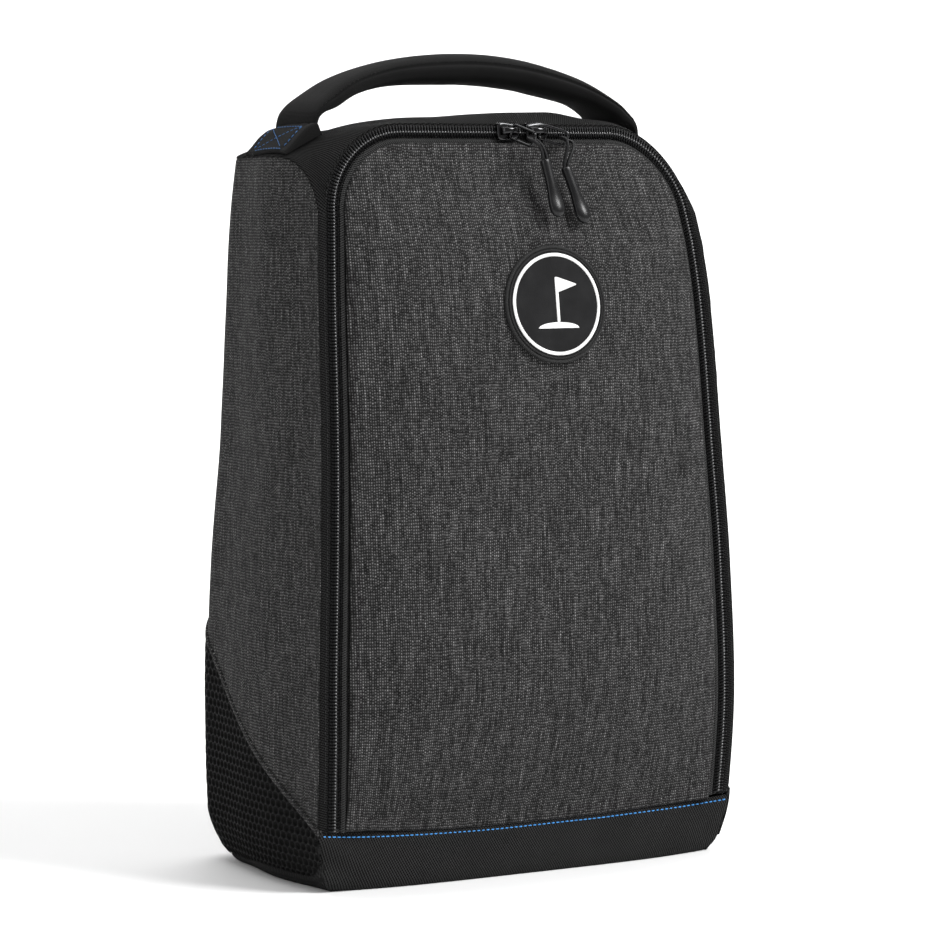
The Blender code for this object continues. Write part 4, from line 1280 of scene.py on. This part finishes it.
def make_emblem(place, face):
    """A flag on its stick above a low mound, as raised print with rounded edges."""
    stick, top, flag_foot, flag_reach = 0.7, 12.5, 5.4, 11.0
    mound_half, mound_foot, mound_rise = 11.0, -11.2, 2.8
    pole = rounded_rectangle(-stick, stick, mound_foot + mound_rise - 0.1, top, 0.5, 4)
    tip = (top + flag_foot) / 2.0
    flag = [(stick - 0.1, top), (stick - 0.1, flag_foot)]
    flag += [(flag_reach - 0.35, tip - 0.35), (flag_reach, tip), (flag_reach - 0.35, tip + 0.35)]
    mound = [(mound_half * math.cos(a), mound_foot + mound_rise * math.sin(a))
             for a in spread(40, 0.0, math.pi)]
    levels = ((0.0, face - 0.1), (0.0, face + 0.35), (0.12, face + 0.52), (0.3, face + 0.6))
    points, faces = [], []
    for outline in (pole, flag[::-1], mound):
        more, its_faces = rounded_plate(outline, levels, place)
        faces += [tuple(len(points) + i for i in one) for one in its_faces]
        points += more
    return make_piece("patch_picture", "flap", points, faces, "print")


# ---------------------------------------------------------------- sliders and pulls

SLIDER_HALF_LENGTH, SLIDER_HALF_WIDTH = 5.6, 4.3
BAIL_LENGTH = 13.0
BAIL_HALF_WIDTH = 3.3
BAIL_RADIUS = 0.65
BAR_OUT = 5.4
BAR_ALONG = 0.9
BAIL_POINTING = {"left": (0.42, -0.84, -0.34), "right": (0.80, -0.52, -0.30)}
CORD_RADIUS = 0.75
LOOP_RADIUS = 3.0
# The moulded end, from its mouth to its foot: (distance, half width, half depth).
GRIP_SHAPE = ((-0.5, 2.3, 1.7), (-0.1, 2.65, 2.0), (0.8, 2.75, 2.05), (4.0, 2.6, 1.95), (9.0, 2.6, 1.95),
              (13.0, 2.85, 2.05), (16.5, 3.3, 2.25), (19.5, 3.75, 2.5), (22.0, 4.0, 2.6),
              (24.2, 3.7, 2.45), (25.8, 2.85, 1.95), (26.7, 1.6, 1.15), (27.0, 0.45, 0.35))
PULL_END = {"left": ((9.0, -63.0, 331.0), (12.5, -69.5, 305.5)),
            "right": ((21.0, -62.0, 327.5), (27.6, -68.5, 303.0))}


def slider_frame(label):
    slope = (station("front", ZIP_TOP + 4.0) - station("front", ZIP_TOP - 4.0)) / 8.0
    return front_point(SLIDER_X[label], ZIP_TOP), Matrix.Rotation(-math.atan(slope), 3, "X")


def bail_axes(label):
    centre, turn = slider_frame(label)
    bar = centre + turn @ Vector((BAR_ALONG, -BAR_OUT, 0.0))
    pointing = Vector(BAIL_POINTING[label]).normalized()
    upright = turn @ Vector((0.0, 0.0, 1.0))
    bar_way = (upright - pointing * upright.dot(pointing)).normalized()
    return bar, pointing, bar_way


def rounded_rectangle(left, right, low, high, radius, steps):
    corners = ((right - radius, high - radius, 0.0), (left + radius, high - radius, 90.0),
               (left + radius, low + radius, 180.0), (right - radius, low + radius, 270.0))
    outline = []
    for cx, cy, start in corners:
        for i in range(steps + 1):
            angle = math.radians(start + 90.0 * i / steps)
            outline.append((cx + radius * math.cos(angle), cy + radius * math.sin(angle)))
    return outline


def rounded_plate(outline, levels, place):
    """Points and faces of a plate with rounded edges; levels is a list of (inset, height)."""
    middles = [Vector(p) for p in outline]
    centre = sum(middles, Vector((0.0, 0.0))) / len(middles)
    rings = []
    for inset, height in levels:
        ring = []
        for here in middles:
            inward = centre - here
            moved = here + inward.normalized() * min(inset, inward.length * 0.9)
            ring.append(place(moved.x, moved.y, height))
        rings.append(ring)
    return swept(rings)


def rounded_body(name, body, outline, levels, place, material):
    points, faces = rounded_plate(outline, levels, place)
    return make_piece(name, body, points, faces, material, sharp=50.0)


def make_slider(label):
    centre, turn = slider_frame(label)
    body = "slider_" + label
    way = -1.0 if label == "left" else 1.0

    def place(a, b, out):
        return centre + turn @ Vector((a, -out, b))
    # a shield: wide shoulders at the end that opens, narrower at the other
    outline = []
    for angle in spread(49, 0.0, TAU)[:-1]:
        a, b = math.cos(angle), math.sin(angle)
        squarer = max(abs(a) ** 5 + abs(b) ** 5, 0.1) ** 0.2
        x, z = SLIDER_HALF_LENGTH * a, SLIDER_HALF_WIDTH * b
        z *= mix(0.80, 1.0, smooth((x * way + SLIDER_HALF_LENGTH) / 8.0)) / squarer
        outline.append((x / squarer, z))
    edge = ((0.35, 2.62), (0.0, 2.85), (0.0, 3.45), (0.3, 3.8), (0.9, 3.95), (2.2, 4.0))
    plate = rounded_body("slider_plate_" + label, body, outline, edge, place, "metal")
    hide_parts("slider_" + label)
    for side in (1.0, -1.0):
        rim = [(x, side * z) for x, z in rounded_rectangle(-4.6, 4.6, 3.35, 4.25, 0.4, 3)]
        rounded_body("slider_flange_%s_%s" % (label, "upper" if side > 0 else "lower"), body, rim,
                     ((0.15, 0.9), (0.0, 1.05), (0.0, 2.9)), place, "metal")
    wedge = [(x + way * 3.2, z) for x, z in rounded_rectangle(-1.3, 1.3, -0.7, 0.7, 0.6, 3)]
    rounded_body("slider_post_" + label, body, wedge, ((0.0, 0.8), (0.0, 3.0)), place, "metal")

    # the crown: an arch along the slider that holds the pull's bar
    line = []
    for angle in spread(25, 0.0, math.pi):
        a = -4.1 * math.cos(angle)
        out = 3.7 + 3.9 * math.sin(angle) ** 0.55
        line.append(Vector((a, out)))
    rings = []
    for i, here in enumerate(line):
        before, after = line[max(i - 1, 0)], line[min(i + 1, len(line) - 1)]
        along = (after - before).normalized()
        normal = Vector((-along.y, along.x))
        wide = mix(1.9, 1.25, math.sin(math.pi * i / (len(line) - 1)))
        ring = []
        for a, b in circle(12, 1.0, TAU / 24.0):
            square = 1.0 / (abs(a) ** 4 + abs(b) ** 4) ** 0.25
            offset = here + normal * (b * square * 0.42)
            ring.append(place(offset.x, a * square * wide, offset.y))
        rings.append(ring)
    points, faces = swept(rings)
    make_piece("slider_crown_" + label, body, points, faces, "metal", sharp=60.0)


def make_bail(label):
    bar, pointing, bar_way = bail_axes(label)
    normal = pointing.cross(bar_way)
    outline = rounded_rectangle(0.0, BAIL_LENGTH, -BAIL_HALF_WIDTH, BAIL_HALF_WIDTH, 1.8, 8)
    rings = []
    count = len(outline)
    for i, (a, b) in enumerate(outline):
        before, after = outline[i - 1], outline[(i + 1) % count]
        along = Vector((after[0] - before[0], after[1] - before[1])).normalized()
        side = pointing * along.y - bar_way * along.x
        middle = bar + pointing * a + bar_way * b
        rings.append([middle + side * u + normal * v for u, v in circle(16, BAIL_RADIUS)])
    points, faces = swept(rings, closed=True)
    wire = make_piece("bail_wire_" + label, "bail_" + label, points, faces, "metal")
    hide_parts("pull_bail_" + label)


def bezier(a, b, c, d, count):
    """Points of a curve from a to d that leaves towards b and arrives from c."""
    points = []
    for t in spread(count):
        s = 1.0 - t
        points.append(a * s ** 3 + b * 3 * s * s * t + c * 3 * s * t * t + d * t ** 3)
    return points


def pull_route(label):
    """The two strands and the U-turn that joins them round the bail's end bar."""
    bar, pointing, bar_way = bail_axes(label)
    end_bar = bar + pointing * BAIL_LENGTH
    top, foot = (Vector(p) for p in PULL_END[label])
    along = (foot - top).normalized()
    hanging = (top - end_bar) - bar_way * (top - end_bar).dot(bar_way)
    pointing = (pointing * 0.3 + hanging.normalized() * 0.7).normalized()
    apart = pointing.cross(bar_way).normalized()
    spread_way = (Vector((1.0, 0.0, 0.0)) - along * along.x).normalized()
    if spread_way.dot(apart) < 0.0:
        apart = -apart
    grip_apart = CORD_RADIUS + 0.25
    strands = []
    for sign in (1.0, -1.0):
        start = end_bar + apart * LOOP_RADIUS * sign
        finish = top + spread_way * grip_apart * sign
        reach = (finish - start).length
        leave = start + pointing * reach * 0.4
        enter = finish - along * reach * 0.25
        strands.append(bezier(start, leave, enter, finish, 16))
    turn = []
    for angle in spread(12, 0.0, math.pi)[1:-1]:
        around = apart * math.cos(angle) - pointing * math.sin(angle)
        turn.append(end_bar + around * LOOP_RADIUS)
    return list(reversed(strands[0])) + turn + strands[1]


def make_pull(label):
    body = "pull_" + label
    route = pull_route(label)
    curve = bpy.data.curves.new("pull_loop_" + label, "CURVE")
    curve.dimensions = "3D"
    curve.bevel_depth = CORD_RADIUS * MM
    curve.bevel_resolution = 4
    curve.use_fill_caps = True
    spline = curve.splines.new("POLY")
    spline.points.add(len(route) - 1)
    for place, point in zip(spline.points, route):
        place.co = (*(point * MM), 1.0)
    cord = bpy.data.objects.new("pull_loop_" + label, curve)
    curve.materials.append(MATERIALS["cord"])
    bpy.context.scene.collection.objects.link(cord)
    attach(cord, body)
    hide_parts("pull_cord_" + label)

    top, foot = (Vector(p) for p in PULL_END[label])
    along = (foot - top).normalized()
    across = (Vector((1.0, 0.0, 0.0)) - along * along.x).normalized()
    outward = along.cross(across)
    rings = []
    for distance, wide, deep in GRIP_SHAPE:
        middle = top + along * distance
        ring = []
        for a, b in circle(28, 1.0):
            dent = 0.28 * math.exp(-((distance - 18.5) / 5.0) ** 2) * smooth((b - 0.4) / 0.6)
            ring.append(middle + across * wide * a + outward * deep * (b - dent))
        rings.append(ring)
    points, faces = swept(rings)
    grip = make_piece("pull_grip_" + label, body, points, faces, "rubber", sharp=70.0)
    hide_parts("pull_end_" + label)
    smooth_more(grip)
    length = running_lengths(route)[-1]


def smooth_more(item):
    """Apply one subdivision surface."""
    modifier = item.modifiers.new("smooth", "SUBSURF")
    modifier.levels = 1
    modifier.render_levels = 1
    bpy.context.view_layer.update()
    evaluated = item.evaluated_get(bpy.context.evaluated_depsgraph_get())
    mesh = bpy.data.meshes.new_from_object(evaluated)
    item.modifiers.clear()
    item.data = mesh


# ---------------------------------------------------------------- handle

# The handle's upper line on its left half, from the foot to the middle: (x, height).
HANDLE_LINE = ((-89.3, 345.0), (-88.9, 348.8), (-86.8, 354.4), (-80.5, 360.8), (-66.0, 369.7), (-46.5, 376.3),
               (-25.0, 380.2), (0.0, 381.7))
RIGHT_FOOT = ((80.5, 361.3), (87.0, 355.5), (90.4, 349.5), (91.0, 341.5))
STRAP_HALF = 18.8
FOOT_HALF = 20.3
GRIP_HALF_DEPTH = 13.4
GRIP_THICK = 14.8
STRAP_THICK = 3.6
SEAM_TURN = math.radians(163.0)     # where the sewn seam lies round the handle's section
EDGE_TURN = math.radians(118.0)     # where the flat top turns into the front
BACKWARD = Vector((0.0, 1.0, 0.0))


def smooth_line(points, steps):
    """Catmull-Rom curve through points, `steps` samples in each span."""
    points = [Vector(p) for p in points]
    padded = [points[0] * 2.0 - points[1]] + points + [points[-1] * 2.0 - points[-2]]
    line = []
    for a, b, c, d in zip(padded, padded[1:], padded[2:], padded[3:]):
        for i in range(steps):
            t = i / steps
            line.append(0.5 * (2.0 * b + (c - a) * t + (2.0 * a - 5.0 * b + 4.0 * c - d) * t * t
                               + (3.0 * b - a - 3.0 * c + d) * t ** 3))
    return line + [points[-1]]


def handle_stations():
    """(middle, outward direction, half depth, half thickness, fullness) along the handle."""
    whole = list(HANDLE_LINE) + [(-x, z) for x, z in reversed(HANDLE_LINE[4:-1])] + list(RIGHT_FOOT)
    line = smooth_line(whole, 7)
    lengths = running_lengths(line)
    result = []
    for i, here in enumerate(line):
        before, after = line[max(i - 1, 0)], line[min(i + 1, len(line) - 1)]
        along = (after - before).normalized()
        out = Vector((-along.y, along.x))
        reach = min(lengths[i], 1.5 * (lengths[-1] - lengths[i]))
        full = 0.52 * smooth((reach - 3.0) / 22.0) + 0.48 * smooth((reach - 25.0) / 75.0)
        half_thick = mix(STRAP_THICK, GRIP_THICK, full) / 2.0
        half_depth = mix(STRAP_HALF, GRIP_HALF_DEPTH, smooth((reach - 6.0) / 60.0))
        middle = here - out * half_thick
        place, outward = Vector((middle.x, 0.0, middle.y)), Vector((out.x, 0.0, out.y))
        result.append((place, outward, half_depth, half_thick, full))
    return result


def handle_ring(stationed, turns, lift=0.0):
    """The handle's section at one station, flatter at the feet and rounder in the middle."""
    middle, out, deep, thick, full = stationed
    power = mix(4.0, 2.25, full)
    ring = []
    for turn in turns:
        a, b = math.cos(turn), math.sin(turn)
        square = 1.0 / (abs(a) ** power + abs(b) ** power) ** (1.0 / power)
        groove = 1.15 * full * math.exp(-((turn - SEAM_TURN) / 0.085) ** 2)
        groove += 0.35 * full * math.exp(-((turn - EDGE_TURN) / 0.10) ** 2)
        swell = 0.5 * full * math.exp(-((turn - SEAM_TURN - 0.32) / 0.22) ** 2)
        size = 1.0 + (swell - groove + lift) / (deep * abs(a) + thick * abs(b))
        here = middle + BACKWARD * (a * square * deep * size) + out * (b * square * thick * size)
        wrinkle = 0.12 * wander(here.x, here.z + here.y, 9.0, 21.0)
        wrinkle += 0.22 * wander(here.x, here.y * 2.0, 28.0, 22.0)
        ring.append(here + (out * b + Vector((0.0, a, 0.0))) * wrinkle * full)
    return ring


def make_handle():
    stationed = handle_stations()
    turns = [TAU * i / 72 for i in range(72)]
    rings = [handle_ring(s, turns) for s in stationed]
    points, faces = swept(rings)
    lengths = running_lengths([s[0] for s in stationed])
    flat = [(t * 12.0, length) for length in lengths for t in turns]
    grip = make_piece("handle_grip", None, points, faces, "jersey", flat, sharp=80.0)
    smooth_more(grip)
    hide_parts("handle_cover", "handle_foam")
    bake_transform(grip)

    line = Stitches()
    path = []
    for s in stationed[9:-9]:
        here = handle_ring(s, [SEAM_TURN - 0.16], 0.05)[0]
        normal = (Vector((0.0, math.cos(SEAM_TURN), 0.0)) + s[1] * math.sin(SEAM_TURN)).normalized()
        path.append((here, normal))
    line.run(path, pitch=2.7, share=0.6, radius=0.2)
    seam = line.make("handle_stitches", None, "jersey", "jersey")
    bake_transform(seam)


PATCH_INNER, PATCH_OUTER = 85.0, 103.6
PATCH_RISE = {"left": 4.6, "right": 0.6}    # how far the foot climbs to meet the strap
# The box of stitches: its two ends along the foot, and its half width, as fractions.
BOX_NEAR, BOX_FAR, BOX_HALF = 0.25, 0.94, 0.70


def foot_climb(label, t):
    """How far the foot stands over the top, t of the way from its inner to its outer edge."""
    return PATCH_RISE[label] * smooth(1.15 - 1.15 * t)


def make_handle_feet(rows):
    """The flat sewn feet of the strap, with their blue box-and-cross stitching."""
    width = len(rows[0])
    points = [p for row in rows for p in row]
    faces = [tuple(f) for f in grid_faces(len(rows), width)]
    tree = BVHTree.FromPolygons(points, faces)

    def drop(x, y):
        found, normal, _, _ = tree.ray_cast(Vector((x, y, 420.0)), Vector((0.0, 0.0, -1.0)))
        if found is None:
            found, normal, _, _ = tree.find_nearest(Vector((x, y, 336.0)))
        return found, (normal if normal.z > 0.0 else -normal)
    for label, side in SIDES:
        across = both_ways(edge_spread(22, 37.0, 2.0))
        down = edge_spread(14, 24.0, 1.6)
        grid, flat, relief = [], [], []
        for t in down:
            x = side * mix(PATCH_INNER, PATCH_OUTER, t)
            line, places, heights = [], [], []
            for u in across:
                found, _ = drop(x, u * FOOT_HALF)
                line.append(tuple(found))
                places.append((u * FOOT_HALF, t * 24.0))
                ridge = math.exp(-((abs(u) * FOOT_HALF - 15.2) / 0.8) ** 2)
                climb = foot_climb(label, t)
                heights.append(-0.55 * ridge + climb + 0.25 * wander(x, u * 18.0, 9.0, 31.0))
            grid.append(line)
            flat.append(places)
            relief.append(heights)
        foot = cloth_sheet("handle_foot_" + label, "bag", grid, flat, 1.7, "jersey",
                           roll=1.5, sink=1.1, lift=1.9, relief=np.array(relief))
        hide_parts("handle_patch_" + label)

        def lay(route):
            path = []
            for (t0, u0), (t1, u1) in zip(route, route[1:]):
                for k in spread(9)[:-1]:
                    t, u = mix(t0, t1, k), mix(u0, u1, k)
                    found, normal = drop(side * mix(PATCH_INNER, PATCH_OUTER, t), u * FOOT_HALF)
                    path.append((found + normal * (1.95 + foot_climb(label, t)), normal))
            return path
        line = Stitches()
        a, b = (BOX_NEAR, -BOX_HALF), (BOX_FAR, -BOX_HALF)
        c, d = (BOX_NEAR, BOX_HALF), (BOX_FAR, BOX_HALF)
        for route in ((a, b), (c, d), (a, c), (b, d), (a, d), (c, b)):
            line.run(lay(route), pitch=2.5, share=0.66, radius=0.2)
        line.make("foot_stitches_" + label, "bag", "navy", "jersey")


# ---------------------------------------------------------------- inside

def lining_sheet(name, grid, flat, replaced, depth=-4.0):
    """A sewn lining just inside a wall; the flat size and area it is cut to are worked out but not used."""
    made = cloth_sheet(name, "bag", grid, flat, 0.7, "lining", rolled=UNROLLED, lift=depth)
    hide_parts(*replaced)
    points = np.array(grid) + grid_normals(np.array(grid)) * depth
    down = np.linalg.norm(np.diff(points, axis=0), axis=2)
    across = np.linalg.norm(np.diff(points, axis=1), axis=2)
    size = (float(across.sum(axis=1).max()), float(down.sum(axis=0).max()))
    edge_a, edge_b = points[1:, :-1] - points[:-1, :-1], points[:-1, 1:] - points[:-1, :-1]
    area = float(np.linalg.norm(np.cross(edge_a, edge_b), axis=2).sum())
    area = min(area, size[0] * size[1])
    return made


def make_inside(rows):
    for label, side in SIDES:
        def low(s, along):
            return 8.0

        def high(s, along):
            return shoulder_height(along) - 3.5
        points, flat = surface_grid(side_surface(side, low, high, 3.0, -5.0), spread(40), spread(24))
        lining_sheet("side_inside_" + label, points, flat, ["side_lining_" + label])

    def back(t, across):
        z = mix(7.0, back_top(across) - 4.0, t)
        return back_point(z, across * 1.01), (across * 95.0, z)
    points, flat = surface_grid(back, spread(40), spread(24, -1.0, 1.0))
    lining_sheet("back_inside", points, flat, ["back_board", "back_lining"], depth=-5.0)

    def floor(t, across):
        y = mix(-52.0, 41.0, t)
        return Vector((across * 103.0, y, 6.5)), (across * 99.0, y)
    points, flat = surface_grid(floor, spread(20), spread(24, -1.0, 1.0))
    lining_sheet("base_inside", points, flat, ["base_board", "base_lining"], depth=0.0)

    keep = slice(66, len(rows) - 66)
    trimmed = [row[2:-2] for row in rows[keep]]
    points = [[tuple(p) for p in row] for row in trimmed]
    flat = [[(p.x, p.y) for p in row] for row in trimmed]
    lining_sheet("top_inside", points, flat, ["top_lining"], depth=-3.6)

    def binding(t, across):
        z = mix(10.0, BAND_TOP - 0.8, t)
        half = station("half", z) - 6.0
        return front_point(across * half, z, -4.0), (across * half, z)
    points, flat = surface_grid(binding, spread(6), spread(24, -1.0, 1.0))
    bound = cloth_sheet("band_binding", "bag", points, flat, 1.0, "tape", rolled=UNROLLED)
    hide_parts("hinge_binding")


# ---------------------------------------------------------------- camera, light and floor

EYE = Vector((-0.9122, -1.5211, 0.3212))
TARGET = Vector((0.00714, -0.00327, 0.18147))
LENS = 141.1


def make_camera():
    data = bpy.data.cameras.new("camera")
    data.lens = LENS
    data.sensor_width = 36.0
    data.clip_end = 60.0
    camera = bpy.data.objects.new("camera", data)
    camera.location = EYE
    camera.rotation_euler = (TARGET - EYE).to_track_quat("-Z", "Y").to_euler()
    bpy.context.scene.collection.objects.link(camera)
    bpy.context.scene.camera = camera


def area_light(name, place, aim, size, power):
    data = bpy.data.lights.new(name, "AREA")
    data.shape = "RECTANGLE"
    data.size, data.size_y = size
    data.energy = power
    light = bpy.data.objects.new(name, data)
    light.location = place
    light.rotation_euler = (Vector(aim) - Vector(place)).to_track_quat("-Z", "Y").to_euler()
    bpy.context.scene.collection.objects.link(light)


def make_stage():
    """A plain pale floor that sweeps up behind into a wall, all one sheet."""
    profile = [(-6.0, 0.0), (3.0, 0.0)]
    for angle in spread(16, 0.0, math.pi / 2.0)[1:]:
        profile.append((3.0 + 2.0 * math.sin(angle), 2.0 - 2.0 * math.cos(angle)))
    profile.append((5.0, 7.0))
    across = spread(9, -7.0, 7.0)
    view = math.atan2(-(TARGET - EYE).x, (TARGET - EYE).y)
    cosine, sine = math.cos(view), math.sin(view)
    points = []
    for y, z in profile:
        points += [(x * cosine - y * sine, x * sine + y * cosine, z) for x in across]
    mesh = bpy.data.meshes.new("floor_sweep")
    mesh.from_pydata(points, [], grid_faces(len(profile), len(across)))
    mesh.shade_smooth()
    made, _, _ = new_material("floor_paper", (0.93, 0.93, 0.93), 0.7, Specular_IOR_Level=0.2)
    mesh.materials.append(made)
    floor = bpy.data.objects.new("floor_sweep", mesh)
    bpy.context.scene.collection.objects.link(floor)

    world = bpy.data.worlds.new("studio")
    world.use_nodes = True
    world.node_tree.nodes["Background"].inputs[0].default_value = (1.0, 1.0, 1.0, 1.0)
    world.node_tree.nodes["Background"].inputs[1].default_value = 0.36
    bpy.context.scene.world = world
    bpy.context.scene.view_settings.view_transform = "Standard"
    area_light("key", (1.5, -2.0, 2.5), (0.0, 0.0, 0.15), (1.2, 1.2), 135.0)
    area_light("fill", (-2.6, -1.0, 1.5), (0.0, 0.0, 0.2), (1.6, 2.0), 18.0)
    area_light("top", (0.2, 0.9, 3.0), (0.0, 0.0, 0.3), (2.4, 2.0), 60.0)
    behind = Matrix.Rotation(view, 3, "Z")
    area_light("backdrop", behind @ Vector((0.0, 2.2, 2.6)), behind @ Vector((0.0, 4.6, 0.6)),
               (5.0, 1.2), 110.0)


make_camera()
for side_label, _ in SIDES:
    make_pull(side_label)
    make_bail(side_label)
    make_slider(side_label)
make_side_walls()
make_vents()
make_back()
make_base()
make_zip()
top_grid = make_top()
make_panel()
make_badge()
make_handle()
make_handle_feet(top_grid)
make_inside(top_grid)
make_stage()
